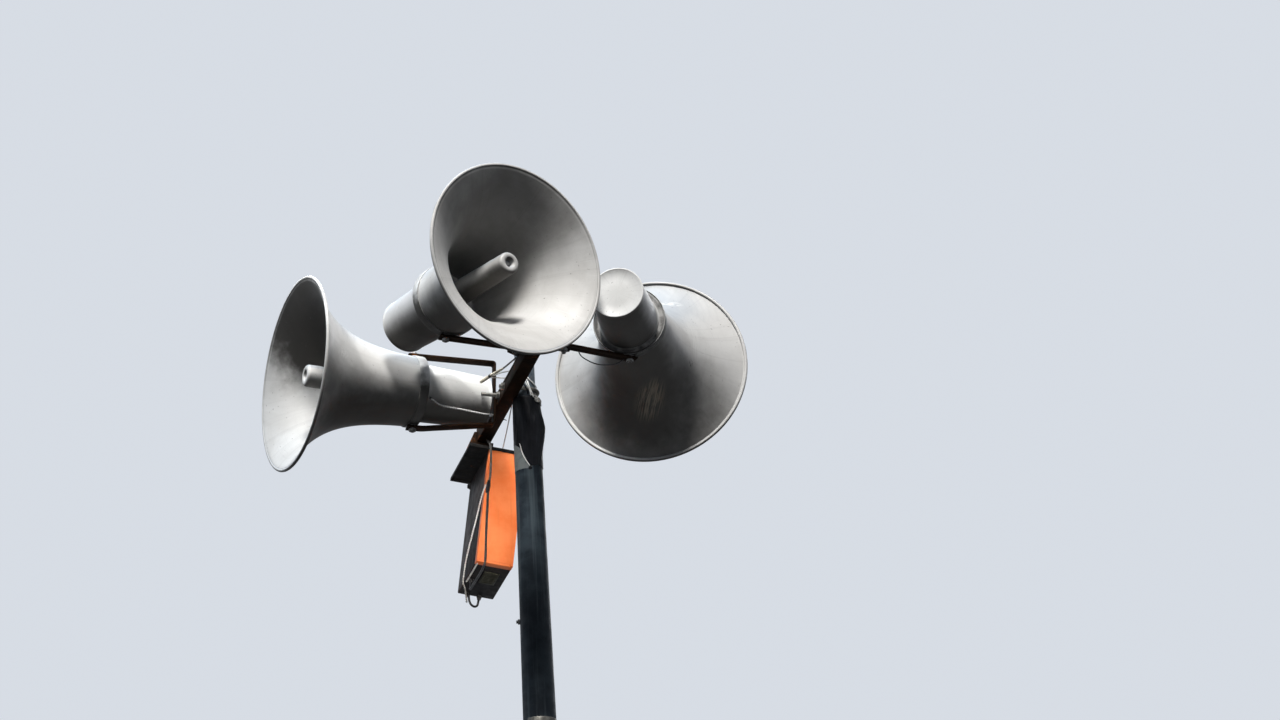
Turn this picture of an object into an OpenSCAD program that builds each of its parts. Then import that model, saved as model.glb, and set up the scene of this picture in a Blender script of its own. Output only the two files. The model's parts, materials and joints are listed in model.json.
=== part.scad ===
// Public-warning horn mast: a tapered steel mast with three re-entrant horn loudspeakers,
// each held in a flat-bar yoke on a square-tube crossbar clamped to the pipe at the mast's top.
// Millimetres, +Z up, origin at the centre of the base plate's underside.

/* [Mast] */
// Height of the shaft's top above the ground
shaft_top = 7210; // [5500:10:8500]
// Outer diameter of the shaft at its foot
shaft_base_d = 210; // [160:1:260]
// Outer diameter of the shaft at its top
shaft_top_d = 66; // [62:1:90]
// Wall of the tapered shaft
shaft_wall = 4; // [3:0.5:5]
// Side of the square base plate
base_side = 400; // [360:5:500]
// Thickness of the base plate
base_t = 20; // [12:1:40]
// Circle through the four anchor holes
anchor_pcd = 420; // [400:5:460]
// Diameter of an anchor hole
anchor_hole_d = 26; // [18:1:32]
// Height of a base rib
rib_h = 160; // [80:5:240]
// Thickness of a base rib
rib_t = 10; // [6:1:16]
// Length of a base rib along the plate
rib_l = 62; // [30:1:70]

/* [Top pipe] */
// Outer diameter of the slim pipe in the shaft's top
pipe_d = 50; // [42:0.5:54]
// Wall of the slim pipe
pipe_wall = 3.5; // [2:0.5:5]
// Length of pipe above the shaft's top
pipe_above = 185; // [150:5:260]
// Length of pipe inside the shaft
pipe_below = 240; // [100:10:400]
// Thickness of the closing ring on the shaft
ring_t = 6; // [4:1:8]
// Wall and top of the pipe's end cap
cap_t = 2.5; // [1.5:0.5:5]
// Depth of the end cap's skirt
cap_skirt = 28; // [10:1:50]

/* [Wrap] */
// Length of the plastic wrap over the shaft's top
wrap_down = 180; // [120:5:260]
// Thickness of the wrap
wrap_t = 3; // [2:0.5:6]
// How far the wrap bulges from the shaft
wrap_bulge = 7; // [2:0.5:12]

/* [Crossbar] */
// Side of the square tube
bar_side = 36; // [30:1:50]
// Wall of the square tube
bar_wall = 3; // [2:0.5:5]
// Crossbar from the pipe's centre to its far end
bar_far = 306; // [260:1:400]
// Crossbar from the pipe's centre to its near end
bar_near = 290; // [250:1:360]
// Height of the crossbar's middle above the shaft's top
bar_rise = 31; // [28:1:60]
// Roll of the crossbar about its own length
head_roll = 2.7; // [0:0.1:5]
// Thickness of the plate that carries two yokes
plate_t = 5; // [4:0.5:10]

/* [Clamp] */
// Diameter of the U-bolt's rod
rod_d = 10; // [8:1:12]
// Length of the far leg beyond the crossbar's side
rod_out = 46; // [20:1:60]
// Length of the near leg beyond the crossbar's side
rod_near_out = 13; // [10:1:60]
// Thickness of a nut
nut_t = 8; // [5:0.5:12]
// Width of a nut across its flats
nut_w = 17; // [13:1:22]

/* [Horns] */
// Outer radius of the bell at its mouth
mouth_r = 247; // [200:1:300]
// Radius that the flare tends to behind the bell
flare_r = 84; // [70:1:88]
// Length over which the flare falls off
flare_len = 92; // [60:1:130]
// Radius of the cylindrical neck
neck_r = 90; // [89:0.5:100]
// Rounding of the neck's rear edge
neck_round = 6; // [2:0.5:12]
// Sheet thickness of the bell
bell_wall = 2; // [1.5:0.1:4]
// Radius of the rolled bead at the mouth
bead_r = 4.5; // [3:0.5:7]
// Mouth plane to the pivot bolts
mouth_to_pivot = 320; // [280:1:380]
// Pivot bolts to the rear edge of the neck
pivot_to_neck_end = 13; // [12:1:30]
// Pivot bolts to the rear face of the driver housing
pivot_to_rear = 191; // [150:1:193]
// Radius of the housing where it meets the neck
tail_front_r = 74; // [70:0.5:84]
// Radius of the housing at its rear
tail_rear_r = 66.5; // [55:0.5:68]
// Radius of the inner tone tube at its root
tube_root_r = 33; // [26:0.5:40]
// Radius of the inner tone tube at its tip
tube_tip_r = 28; // [20:0.5:34]
// Mouth plane to the tip of the tone tube
tube_inset = 30; // [10:1:80]
// Depth of the dimple in the tone tube's tip
dimple_deep = 22; // [8:1:30]

/* [Yokes] */
// Width of the yoke's flat bar
yoke_w = 30; // [24:1:40]
// Thickness of the yoke's flat bar
yoke_t = 4.5; // [3:0.5:6]
// Pivot bolts to the outer face of the yoke's web
yoke_arm = 212; // [212:1:240]
// Inner radius of the yoke's bent corners
yoke_bend = 4; // [2:0.5:10]
// Width of the neck strap
strap_w = 24; // [16:1:26]
// Thickness of the neck strap
strap_t = 2; // [1.5:0.5:3]
// Height of the pivot bosses on the strap
boss_h = 3.5; // [3.4:0.1:6]
// Diameter of a pivot bolt
pivot_d = 10; // [8:0.5:12]
// Left horn's bolts along the crossbar
left_y = 84; // [80:1:120]
// Height of the left horn's axis above the crossbar's middle
left_rise = 11; // [0:1:20]
// Left horn's mouth direction
left_aim = 188.8; // [180:0.1:200]
// Centre horn's bolts from the crossbar's middle, sideways
centre_x = -213; // [-230:1:-205]
// Centre horn's bolts along the crossbar
centre_y = -242; // [-260:1:-225]
// Centre horn's mouth direction
centre_aim = 291.1; // [280:0.1:300]
// Centre yoke's direction
centre_yoke = 186.2; // [180:0.1:190]
// Right horn's bolts from the crossbar's middle, sideways
right_x = 264; // [250:1:280]
// Right horn's bolts along the crossbar
right_y = -219; // [-235:1:-205]
// Right horn's mouth direction
right_aim = 66.7; // [55:0.1:75]
// Right yoke's direction
right_yoke = 13; // [5:0.1:18]

/* [Control box] */
// Width of the control box
box_w = 95; // [80:1:130]
// Depth of the control box along the crossbar
box_l = 240; // [200:1:300]
// Height of the control box
box_h = 316; // [250:1:360]
// Depth of the orange front cover
cover_t = 24; // [8:1:40]
// Control box's middle beside the hood's middle
box_shift = 7.6; // [-10:0.1:12]
// Height of the vent panel's frame under the box
vent_t = 4; // [2:0.5:8]
// Rain hood past each side of the box
hood_side = 46; // [20:1:60]
// Rain hood past the box's front and back
hood_over = 4; // [2:0.5:20]
// Sheet thickness of the rain hood
hood_t = 2.5; // [1.5:0.5:4]
// Depth of the rain hood's turned-down edge
hood_lip = 9; // [6:1:20]
// Lean of the box and hood
box_lean = 8.5; // [4:0.5:10]
// Drop of the hood's middle below the crossbar's middle
hood_drop = 53; // [45:1:80]
// Hood's middle, sideways from the pipe
hood_x = 1; // [-20:1:10]
// Hood's front edge before the crossbar's far end
hood_lead = 52; // [40:1:80]
// Thickness of the hanger plate
hanger_t = 6; // [4:0.5:10]

/* [Hidden] */

$fn = 96;
// how far a cut runs past the piece it cuts
over = 1;
// running clearance of a pivot bolt in its arm, and face clearance of what seats on a curve
pin_gap = 0.1;
seat_gap = 0.3;
shaft_taper = (shaft_base_d - shaft_top_d) / 2 / (shaft_top - base_t);
pipe_r = pipe_d / 2;
roll_reach = bar_side / 2 * (cos(head_roll) + sin(head_roll));
head_x = -(pipe_r + roll_reach + seat_gap);
head_z = shaft_top + bar_rise;
pipe_top = shaft_top + pipe_above;
neck_end = mouth_to_pivot + pivot_to_neck_end;
strap_in_r = neck_r + seat_gap;
strap_out_r = strap_in_r + strap_t;
arm_in = strap_out_r + boss_h + seat_gap;
arm_out = arm_in + yoke_t;
left_x = -(bar_side / 2 + yoke_arm);
stand_rise = bar_side / 2 + plate_t + arm_out;
arm_bolt_in = 28;
flare_steps = 22;
hanger_slope = 16;
// height of a base rib's outer edge and width of its top
rib_toe = 18;
rib_tip = 8;
// yoke plate past its bolts: to the side, along the bar, and where its edge starts to slant
plate_edge = 18;
plate_end = 20;
plate_slant = 40;
plate_front = 30;
// chamfer of the wrap's turned-in top
wrap_chamfer = 2;
// bolt's thread past its nut, and how much less deep a head is than a nut
thread_out = 6;
head_less = 1;
// front rim of the driver housing, and the bead round its rear
rim_out = 2;
rim_l = 4;
rear_bead = 1.2;
bead_l = 4;
// the mouth bead's middle inside the flare's edge
bead_in = 1;
// rounding of the tone tube's tip
tip_round = 8;
dimple_lip = 13;
// boss narrower than its strap, and pivot bolt past its arm
boss_less = 2;
pivot_out = 2;
// vent panel: its middle beside the box's, its start behind the front, size, rim, slots, the bars
// between and the sheet behind them
vent_x = 6;
vent_y = 60;
vent_w = 40;
vent_l = 74;
vent_rim = 5;
vent_slots = 8;
vent_pitch = 8;
vent_bar = 3;
vent_back = 2;
// front cover's raised panel
cover_rim = 6;
cover_raise = 1.5;
// cable entries: place under the box and the cable's radius, and the nut's height
gland_spots = [[-34, 6, 4], [-26, 100, 3], [8, 108, 4]];
gland_nut = 6;
// entry on the left housing: distance behind the pivot bolts, turn about the horn, seat and tilt
left_entry_back = 24.6;
left_entry_turn = -30.3;
left_entry_lift = 0.7;
left_entry_tilt = 122;
// band and bolt end on the shaft, below its top
clip_drop = 884;
clip_h = 32;
clip_t = 3;
clip_turn = 215;
clip_span = 110;
stud_drop = 586;
stud_turn = 165;
stud_d = 8;
stud_out = 9;
// leads: sides and radii of their tubes, and the points they follow, with heights above the shaft's top
cord_sides = 8;
cord_up = [0.1, 0.2, 1];
cord_r = 2.2;
wire_r = 1.5;
cable_r = 3;
left_route = [[-241, 13.7, 7.1], [-240.6, 9.8, 4.6], [-236, 8.5, 0.5], [-222, 18, -5],
    [-203, 28, -6], [-176, 35, -7], [-150, 39, -9], [-103, 50, -12], [-74, 70, -5],
    [-71.5, 84, -2], [-70, 130, 15], [-67, 170, 33], [-64, 196, 46]];
pipe_route = [[-23.8, -52, 42], [-14, -34, 69], [-5.2, -26.8, 66], [6.6, -26.5, 54],
    [17.2, -21.2, 46], [24.5, -12, 42.5], [27.3, -0.5, 42], [24.9, 11.1, 41.5], [17.9, 20.6, 40.5],
    [2, 38, 39], [-19, 60, 37], [-16, 100, 25], [-10, 180, 2], [-5, 258, -19.2]];
right_route = [[84, -240, 46.2], [90, -239, 36], [105, -236, 27], [130, -232, 19], [160, -229, 19],
    [190, -225, 28], [203, -222, 40.9]];
stub_route = [[-64, -182, 47], [-68, -142, 52], [-75, -83, 59], [-90, -18, 67], [-110, 22, 63]];
core_a_route = [[-88, -24, 62], [-78, -58, 56], [-63.5, -94, 47]];
core_b_route = [[-90, -14, 61], [-78, -30, 55], [-63.5, -48, 47]];
grey_route = [[-40, 280, 10], [-40, 262, -2], [-40, 248, -14], [-40, 245, -50], [-44, 246, -100],
    [-50, 247, -132]];
black_route = [[-50.2, 247, -132.4], [-54, 248, -180], [-60, 249, -260], [-65, 249, -330], [-68, 256, -346],
    [-70, 300, -352], [-77, 376, -362], [-76.5, 383, -355], [-74.1, 384, -345.4]];
pale_route = [[-57, 245, -126], [-66.5, 262, -158], [-72, 312, -202], [-82, 378, -266],
    [-92, 382, -320], [-94, 388, -342], [-87, 402, -353], [-70, 462, -364],
    [-67.5, 476, -359], [-66.1, 478, -346.7]];
under_route = [[-82, 268, -334.4], [-82, 300, -334.4], [-82, 350, -334.4], [-82, 400, -334.4]];
loop_route = [[-58, 486, -336.2], [-57.5, 488, -350], [-53, 490, -362], [-44, 491, -368], [-36, 490, -365],
    [-32.8, 487, -351.8]];
clip_z = shaft_top - clip_drop;
stud_z = shaft_top - stud_drop;
leg_y = pipe_r + seat_gap + rod_d / 2;
hood_w = box_w + 2 * hood_side;
hood_l = box_l + 2 * hood_over;
hood_y = bar_far - hood_lead + hood_l / 2;

// radius of the shaft at a height
function shaft_r(z) = shaft_top_d / 2 + shaft_taper * (shaft_top - z);
// radius of the bell's outer face at a distance behind the mouth
function flare(x) = max(neck_r, flare_r + (mouth_r - flare_r) * exp(-x / flare_len));
function flare_slope(x) = flare(x) > neck_r ? (mouth_r - flare_r) / flare_len * exp(-x / flare_len) : 0;
function inner(x) = flare(x) - bell_wall * sqrt(1 + pow(flare_slope(x), 2));
// distances behind the mouth, closer together where the flare is steep
function stations() = [for (i = [0 : flare_steps]) neck_end * pow(i / flare_steps, 1.5)];

// frame of the crossbar: its middle line along Y, rolled about that line
module on_head() translate([head_x, 0, head_z]) rotate([0, head_roll, 0]) children();
module at_left() on_head() translate([left_x, left_y, left_rise]) children();
module at_centre() on_head() translate([centre_x, centre_y, stand_rise]) children();
module at_right() on_head() translate([right_x, right_y, stand_rise]) children();
// frame of the hood and box: the hood's middle, leaning about the crossbar's direction
module on_hood() translate([hood_x, hood_y, head_z - hood_drop]) rotate([0, box_lean, 0]) children();

module base_plate() color("slategray") difference() {
    translate([-base_side / 2, -base_side / 2, 0]) cube([base_side, base_side, base_t]);
    for (a = [45 : 90 : 315])
        rotate(a) translate([anchor_pcd / 2, 0, -over])
            cylinder(d = anchor_hole_d, h = base_t + 2 * over);
}

module base_ribs() color("slategray") for (a = [0 : 90 : 270]) rotate(a)
    translate([0, rib_t / 2, base_t]) rotate([90, 0, 0]) linear_extrude(rib_t)
        polygon([[shaft_base_d / 2 + seat_gap, 0], [shaft_base_d / 2 + rib_l, 0],
                 [shaft_base_d / 2 + rib_l, rib_toe],
                 [shaft_base_d / 2 - shaft_taper * rib_h + seat_gap + rib_tip, rib_h],
                 [shaft_base_d / 2 - shaft_taper * rib_h + seat_gap, rib_h]]);

module mast_shaft() color("darkslategray") rotate_extrude()
    polygon([[shaft_base_d / 2 - shaft_wall, base_t], [shaft_base_d / 2, base_t],
             [shaft_top_d / 2, shaft_top], [shaft_top_d / 2 - shaft_wall, shaft_top]]);

module closing_ring() color("slategray") translate([0, 0, shaft_top]) difference() {
    cylinder(d = shaft_top_d, h = ring_t);
    translate([0, 0, -over]) cylinder(r = pipe_r, h = ring_t + 2 * over);
}

module top_pipe() color("silver") translate([0, 0, shaft_top - pipe_below]) difference() {
    cylinder(r = pipe_r, h = pipe_below + pipe_above);
    translate([0, 0, -over]) cylinder(r = pipe_r - pipe_wall, h = pipe_below + pipe_above + 2 * over);
}

module pipe_cap() color("dimgray") translate([0, 0, pipe_top - cap_skirt]) difference() {
    cylinder(r = pipe_r + seat_gap + cap_t, h = cap_skirt + cap_t);
    translate([0, 0, -over]) cylinder(r = pipe_r + seat_gap, h = cap_skirt + over);
}

// radius of the wrap's inner face at a height below the shaft's top
function wrap_r(d) = shaft_r(shaft_top - d) + seat_gap + wrap_bulge * pow(sin(180 * d / wrap_down), 2);
module mast_wrap() color("black") rotate_extrude()
    polygon(concat(
        [[pipe_r + seat_gap, shaft_top + ring_t + seat_gap + wrap_chamfer],
         [pipe_r + seat_gap, shaft_top + ring_t + seat_gap],
         [shaft_top_d / 2 + seat_gap, shaft_top + ring_t + seat_gap]],
        [for (i = [0 : 12]) [wrap_r(wrap_down * i / 12), shaft_top - wrap_down * i / 12]],
        [for (i = [12 : -1 : 0]) [wrap_r(wrap_down * i / 12) + wrap_t, shaft_top - wrap_down * i / 12]],
        [[shaft_top_d / 2 + seat_gap + wrap_t, shaft_top + ring_t],
         [shaft_top_d / 2 + seat_gap + wrap_t - wrap_chamfer, shaft_top + ring_t + seat_gap + wrap_chamfer]]));

module crossbar() color("saddlebrown") on_head() difference() {
    translate([-bar_side / 2, -bar_near, -bar_side / 2]) cube([bar_side, bar_near + bar_far, bar_side]);
    translate([-bar_side / 2 + bar_wall, -bar_near - over, -bar_side / 2 + bar_wall])
        cube([bar_side - 2 * bar_wall, bar_near + bar_far + 2 * over, bar_side - 2 * bar_wall]);
    for (y = [-leg_y, leg_y]) translate([-bar_side, y, 0]) rotate([0, 90, 0])
        cylinder(d = rod_d + 2 * pin_gap, h = 2 * bar_side);
}

// the bolts through the lower arms of the two standing yokes
function arm_bolt(x, y, a) = [x - (yoke_arm - arm_bolt_in) * cos(a), y - (yoke_arm - arm_bolt_in) * sin(a)];
centre_bolt = arm_bolt(centre_x, centre_y, centre_yoke);
right_bolt = arm_bolt(right_x, right_y, right_yoke);
module yoke_plate() color("saddlebrown") on_head() translate([0, 0, bar_side / 2]) difference() {
    linear_extrude(plate_t) polygon([
        [centre_bolt[0] - plate_edge, centre_bolt[1] - plate_end],
        [centre_bolt[0] - plate_edge, centre_bolt[1] + plate_edge],
        [-bar_side / 2, centre_bolt[1] + plate_slant], [bar_side / 2, centre_bolt[1] + plate_slant],
        [right_bolt[0] - plate_front, right_bolt[1] + plate_end],
        [right_bolt[0] + plate_edge, right_bolt[1] + plate_end],
        [right_bolt[0] + plate_edge, right_bolt[1] - plate_end], [-bar_side / 2, right_bolt[1] - plate_end]]);
    for (p = [centre_bolt, right_bolt]) translate([p[0], p[1], -over])
        cylinder(d = rod_d + 2 * pin_gap, h = plate_t + 2 * over);
}

// a rod bent round the pipe, its two legs through the crossbar
module u_bolt() color("silver") on_head() {
    for (leg = [[-leg_y, rod_near_out], [leg_y, rod_out]])
        translate([-bar_side / 2 - leg[1], leg[0], 0]) rotate([0, 90, 0])
            cylinder(d = rod_d, h = leg[1] + bar_side / 2 - head_x);
    translate([-head_x, 0, 0]) rotate(-90) rotate_extrude(angle = 180) translate([leg_y, 0]) circle(d = rod_d);
}

module nut(x, y, z) translate([x, y, z]) rotate([0, -90, 0]) difference() {
    cylinder(d = nut_w / cos(30), h = nut_t, $fn = 6);
    translate([0, 0, -over]) cylinder(d = rod_d + 2 * pin_gap, h = nut_t + 2 * over);
}

module u_bolt_nuts() color("silver") on_head() for (y = [-leg_y, leg_y]) nut(-bar_side / 2, y, 0);

// a bolt with a head and a nut, along Z from its head's seat at the origin
module bolt(grip) {
    cylinder(d = nut_w / cos(30), h = nut_t - head_less, $fn = 6);
    translate([0, 0, -grip - nut_t - thread_out]) cylinder(d = rod_d, h = grip + nut_t + thread_out);
    translate([0, 0, -grip - nut_t]) cylinder(d = nut_w / cos(30), h = nut_t, $fn = 6);
}

module yoke_bolts() color("dimgray") on_head()
    for (p = [centre_bolt, right_bolt]) translate([p[0], p[1], bar_side / 2 + plate_t + yoke_t])
        bolt(plate_t + yoke_t);

// U of flat bar: the web at -X, the arms above and below, pivot holes on the Z axis
module yoke(aim, arm_hole) rotate(aim) difference() {
    translate([0, yoke_w / 2, 0]) rotate([90, 0, 0]) linear_extrude(yoke_w) difference() {
        union() {
            translate([-yoke_arm + yoke_t + yoke_bend, -arm_out])
                square([yoke_arm - yoke_t - yoke_bend + yoke_w / 2, 2 * arm_out]);
            translate([-yoke_arm, -arm_out + yoke_t + yoke_bend])
                square([yoke_arm, 2 * (arm_out - yoke_t - yoke_bend)]);
            for (s = [-1, 1]) translate([-yoke_arm + yoke_t + yoke_bend, s * (arm_out - yoke_t - yoke_bend)])
                circle(r = yoke_t + yoke_bend, $fn = 48);
        }
        translate([-yoke_arm + yoke_t + yoke_bend, -arm_in])
            square([yoke_arm + yoke_w, 2 * arm_in]);
        translate([-yoke_arm + yoke_t, -arm_in + yoke_bend])
            square([yoke_arm, 2 * (arm_in - yoke_bend)]);
        for (s = [-1, 1]) translate([-yoke_arm + yoke_t + yoke_bend, s * (arm_in - yoke_bend)])
            circle(r = yoke_bend, $fn = 48);
    }
    translate([0, 0, -arm_out - over])
        cylinder(d = pivot_d + 2 * pin_gap, h = 2 * arm_out + 2 * over);
    if (arm_hole) translate([-yoke_arm + arm_bolt_in, 0, -arm_out - over])
        cylinder(d = rod_d + 2 * pin_gap, h = yoke_t + 2 * over);
}

// turned about the horn's axis, +X towards the mouth, from a profile of radius and distance from the mouth
module turned(aim) rotate(aim) translate([mouth_to_pivot, 0, 0]) rotate([0, 90, 0]) rotate_extrude() children();

// the rolled bead, from the outer face round to the inner face
function bead_arc() = [for (a = [215 : 15 : 500])
    [mouth_r - bead_in + bead_r * cos(a), -bead_r + bead_r * sin(a)]];
// the neck's rear edge, rounded, at a radius less by inset
function rear_arc(inset) = [for (a = [0 : 18 : 90]) let (r = neck_round - inset)
    [neck_r - neck_round + r * cos(a), -neck_end + neck_round - r * sin(a)]];
module bell(aim) turned(aim) polygon(concat(
    [for (i = [flare_steps - 1 : -1 : 2]) [flare(stations()[i]), -stations()[i]]],
    bead_arc(),
    [for (i = [1 : flare_steps - 1]) [inner(stations()[i]), -stations()[i]]],
    rear_arc(bell_wall),
    [[tube_root_r + seat_gap, -neck_end + bell_wall], [tube_root_r + seat_gap, -neck_end]],
    [for (i = [len(rear_arc(0)) - 1 : -1 : 0]) rear_arc(0)[i]]));

module tone_tube(aim) turned(aim) polygon(concat(
    [[0, -neck_end], [tube_root_r, -neck_end]],
    [for (a = [0 : 15 : 90])
        [tube_tip_r - tip_round + tip_round * cos(a), -tube_inset - tip_round + tip_round * sin(a)]],
    [[tube_tip_r - dimple_lip, -tube_inset], [0, -tube_inset - dimple_deep]]));

rear_face = -mouth_to_pivot - pivot_to_rear;
module housing(aim) turned(aim) polygon([
    [0, -neck_end], [tail_front_r + rim_out, -neck_end], [tail_front_r + rim_out, -neck_end - rim_l],
    [tail_front_r, -neck_end - rim_l - rim_out], [tail_rear_r, rear_face + bead_l],
    [tail_rear_r + rear_bead, rear_face + bead_l - rear_bead], [tail_rear_r, rear_face], [0, rear_face]]);

module strap(aim) rotate(aim) {
    rotate([0, 90, 0]) difference() {
        union() {
            translate([0, 0, -strap_w / 2]) cylinder(r = strap_out_r, h = strap_w);
            rotate([0, 90, 0]) translate([0, 0, -strap_out_r - boss_h])
                cylinder(d = strap_w - boss_less, h = 2 * (strap_out_r + boss_h));
        }
        translate([0, 0, -strap_w]) cylinder(r = strap_in_r, h = 2 * strap_w);
    }
}

module pivots() for (s = [0, 1]) mirror([0, 0, s]) translate([0, 0, strap_out_r + boss_h]) {
    cylinder(d = pivot_d, h = seat_gap + yoke_t + pivot_out);
    translate([0, 0, seat_gap + yoke_t + seat_gap])
        cylinder(d = nut_w / cos(30), h = nut_t - head_less, $fn = 6);
}

module left_yoke() color("saddlebrown") at_left() yoke(180, false);
module left_bell() color("lightgray") at_left() bell(left_aim);
module left_tube() color("lightgray") at_left() tone_tube(left_aim);
module left_housing() color("darkgray") at_left() housing(left_aim);
module left_strap() color("dimgray") at_left() strap(left_aim);
module left_pivots() color("dimgray") at_left() pivots();

module centre_yoke_bar() color("saddlebrown") at_centre() yoke(centre_yoke, true);
module centre_bell() color("lightgray") at_centre() bell(centre_aim);
module centre_tube() color("lightgray") at_centre() tone_tube(centre_aim);
module centre_housing() color("darkgray") at_centre() housing(centre_aim);
module centre_strap() color("dimgray") at_centre() strap(centre_aim);
module centre_pivots() color("dimgray") at_centre() pivots();

module right_yoke_bar() color("saddlebrown") at_right() yoke(right_yoke, true);
module right_bell() color("lightgray") at_right() bell(right_aim);
module right_tube() color("lightgray") at_right() tone_tube(right_aim);
module right_housing() color("darkgray") at_right() housing(right_aim);
module right_strap() color("dimgray") at_right() strap(right_aim);
module right_pivots() color("dimgray") at_right() pivots();

module box_hood() color("dimgray") on_hood() difference() {
    translate([-hood_w / 2, -hood_l / 2, -hood_lip]) cube([hood_w, hood_l, hood_lip]);
    translate([-hood_w / 2 + hood_t, -hood_l / 2 + hood_t, -hood_lip - over])
        cube([hood_w - 2 * hood_t, hood_l - 2 * hood_t, hood_lip + over - hood_t]);
}

// plate across the crossbar's far end, down to the hood
module box_hanger() color("saddlebrown") difference() {
    on_hood() translate([0, -hood_y + bar_far, 0]) rotate([90, 0, 0]) linear_extrude(hanger_t) polygon([
        [-hood_w / 2, 0], [-hood_w / 2 + hanger_slope, hood_drop], [-pipe_r, hood_drop], [-pipe_r, 0]]);
    on_head() translate([-bar_side / 2, -bar_near, -bar_side / 2])
        cube([4 * bar_side, bar_near + 2 * bar_far, 4 * bar_side]);
}

module on_box() on_hood() translate([box_shift, 0, -hood_t]) children();

module box_body() color("slategray") on_box()
    translate([-box_w / 2, -box_l / 2 + cover_t, -box_h]) cube([box_w, box_l - cover_t, box_h]);

// front cover with a shallow raised panel
module box_cover() color("orangered") on_box() {
    translate([-box_w / 2, -box_l / 2, -box_h]) cube([box_w, cover_t, box_h]);
    translate([-box_w / 2 + cover_rim, -box_l / 2 - cover_raise, -box_h + cover_rim])
        cube([box_w - 2 * cover_rim, cover_raise, box_h - 2 * cover_rim]);
}

// framed panel with slats under the box
module box_vent() color("gray") on_box()
    translate([vent_x, -box_l / 2 + vent_y, -box_h - vent_t]) difference() {
    translate([-vent_w / 2, 0, 0]) cube([vent_w, vent_l, vent_t]);
    for (i = [0 : vent_slots - 1]) translate([-vent_w / 2 + vent_rim, vent_rim + i * vent_pitch, -over])
        cube([vent_w - 2 * vent_rim, vent_pitch - vent_bar, vent_t + over - vent_back]);
}

// cable entry under the box: nut with a tapered sleeve
module gland(r) {
    cylinder(r = r * 1.7, h = gland_nut, $fn = 6);
    translate([0, 0, gland_nut]) cylinder(r1 = r * 1.4, r2 = r * 1.15, h = gland_nut);
}
module box_glands() color("black") on_box() for (p = gland_spots)
    translate([p[0], p[1], -box_h]) rotate([180, 0, 0]) gland(p[2]);

// radius of the driver housing's side at a distance behind the mouth
function tail_r(x) = tail_front_r + (tail_rear_r - tail_front_r)
    * (x - neck_end - rim_l - rim_out) / (-rear_face - bead_l - neck_end - rim_l - rim_out);
// cable entry on the side of the left driver housing
module left_gland() color("black") at_left() rotate(left_aim) translate([-left_entry_back, 0, 0])
    rotate([left_entry_turn, 0, 0])
        translate([0, tail_r(mouth_to_pivot + left_entry_back) + left_entry_lift, 0])
            rotate([-left_entry_turn, 0, 0]) rotate(-left_aim) rotate([0, -head_roll, 0])
                rotate([left_entry_tilt, 0, 0]) gland(cord_r + pin_gap);

// band on the shaft that held a cable
module shaft_clip() color("silver") translate([0, 0, clip_z]) rotate(clip_turn)
    rotate_extrude(angle = clip_span) translate([shaft_r(clip_z) + seat_gap, 0]) square([clip_t, clip_h]);

// bolt end standing out of the shaft
module shaft_stud() color("dimgray") translate([0, 0, stud_z]) rotate(stud_turn) rotate([0, 90, 0])
    translate([0, 0, shaft_r(stud_z)]) {
        cylinder(d = stud_d, h = stud_out);
        translate([0, 0, seat_gap]) cylinder(d = stud_d * 1.8, h = stud_out / 2, $fn = 6);
    }

// tube swept along points, closed at both ends
function unit(v) = v / norm(v);
function along(p, i) = unit(p[min(i + 1, len(p) - 1)] - p[max(i - 1, 0)]);
function ring_at(p, i, r) = let (n = unit(cross(along(p, i), cord_up)), b = cross(along(p, i), n))
    [for (k = [0 : cord_sides - 1]) p[i] + r * (n * cos(360 * k / cord_sides) + b * sin(360 * k / cord_sides))];
module cord(p, r) translate([0, 0, shaft_top]) polyhedron(
    [for (i = [0 : len(p) - 1]) each ring_at(p, i, r)],
    concat(
        [[for (k = [0 : cord_sides - 1]) k]],
        [[for (k = [cord_sides - 1 : -1 : 0]) (len(p) - 1) * cord_sides + k]],
        [for (i = [0 : len(p) - 2], k = [0 : cord_sides - 1])
            let (a = i * cord_sides, n = (k + 1) % cord_sides) each [
                [a + k, a + cord_sides + k, a + cord_sides + n], [a + k, a + cord_sides + n, a + n]]]));

module lead_left() color("ivory") cord(left_route, cord_r);
module lead_pipe() color("ivory") cord(pipe_route, wire_r);
module lead_right() color("black") cord(right_route, wire_r);
module lead_stub() color("gray") {
    cord(stub_route, cord_r);
    cord(core_a_route, wire_r);
    cord(core_b_route, wire_r);
}
module box_lead_grey() color("gray") cord(grey_route, cable_r);
module box_lead_black() color("black") cord(black_route, cable_r);
module box_lead_pale() color("ivory") cord(pale_route, cord_r);
module box_lead_under() color("ivory") cord(under_route, cord_r);
module box_lead_loop() color("black") cord(loop_route, cable_r);

base_plate();
base_ribs();
mast_shaft();
closing_ring();
top_pipe();
pipe_cap();
mast_wrap();
crossbar();
yoke_plate();
u_bolt();
u_bolt_nuts();
yoke_bolts();
left_yoke();
left_bell();
left_tube();
left_housing();
left_strap();
left_pivots();
centre_yoke_bar();
centre_bell();
centre_tube();
centre_housing();
centre_strap();
centre_pivots();
right_yoke_bar();
right_bell();
right_tube();
right_housing();
right_strap();
right_pivots();
box_hood();
box_hanger();
box_body();
box_cover();
box_vent();
left_gland();
box_glands();
shaft_clip();
shaft_stud();
lead_left();
lead_pipe();
lead_right();
lead_stub();
box_lead_grey();
box_lead_black();
box_lead_pale();
box_lead_under();
box_lead_loop();
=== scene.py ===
# Public-warning horn mast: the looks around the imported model. Metres, +Z up.
import json
import math
import bpy
import bmesh
import numpy as np
from mathutils import Matrix


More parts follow.
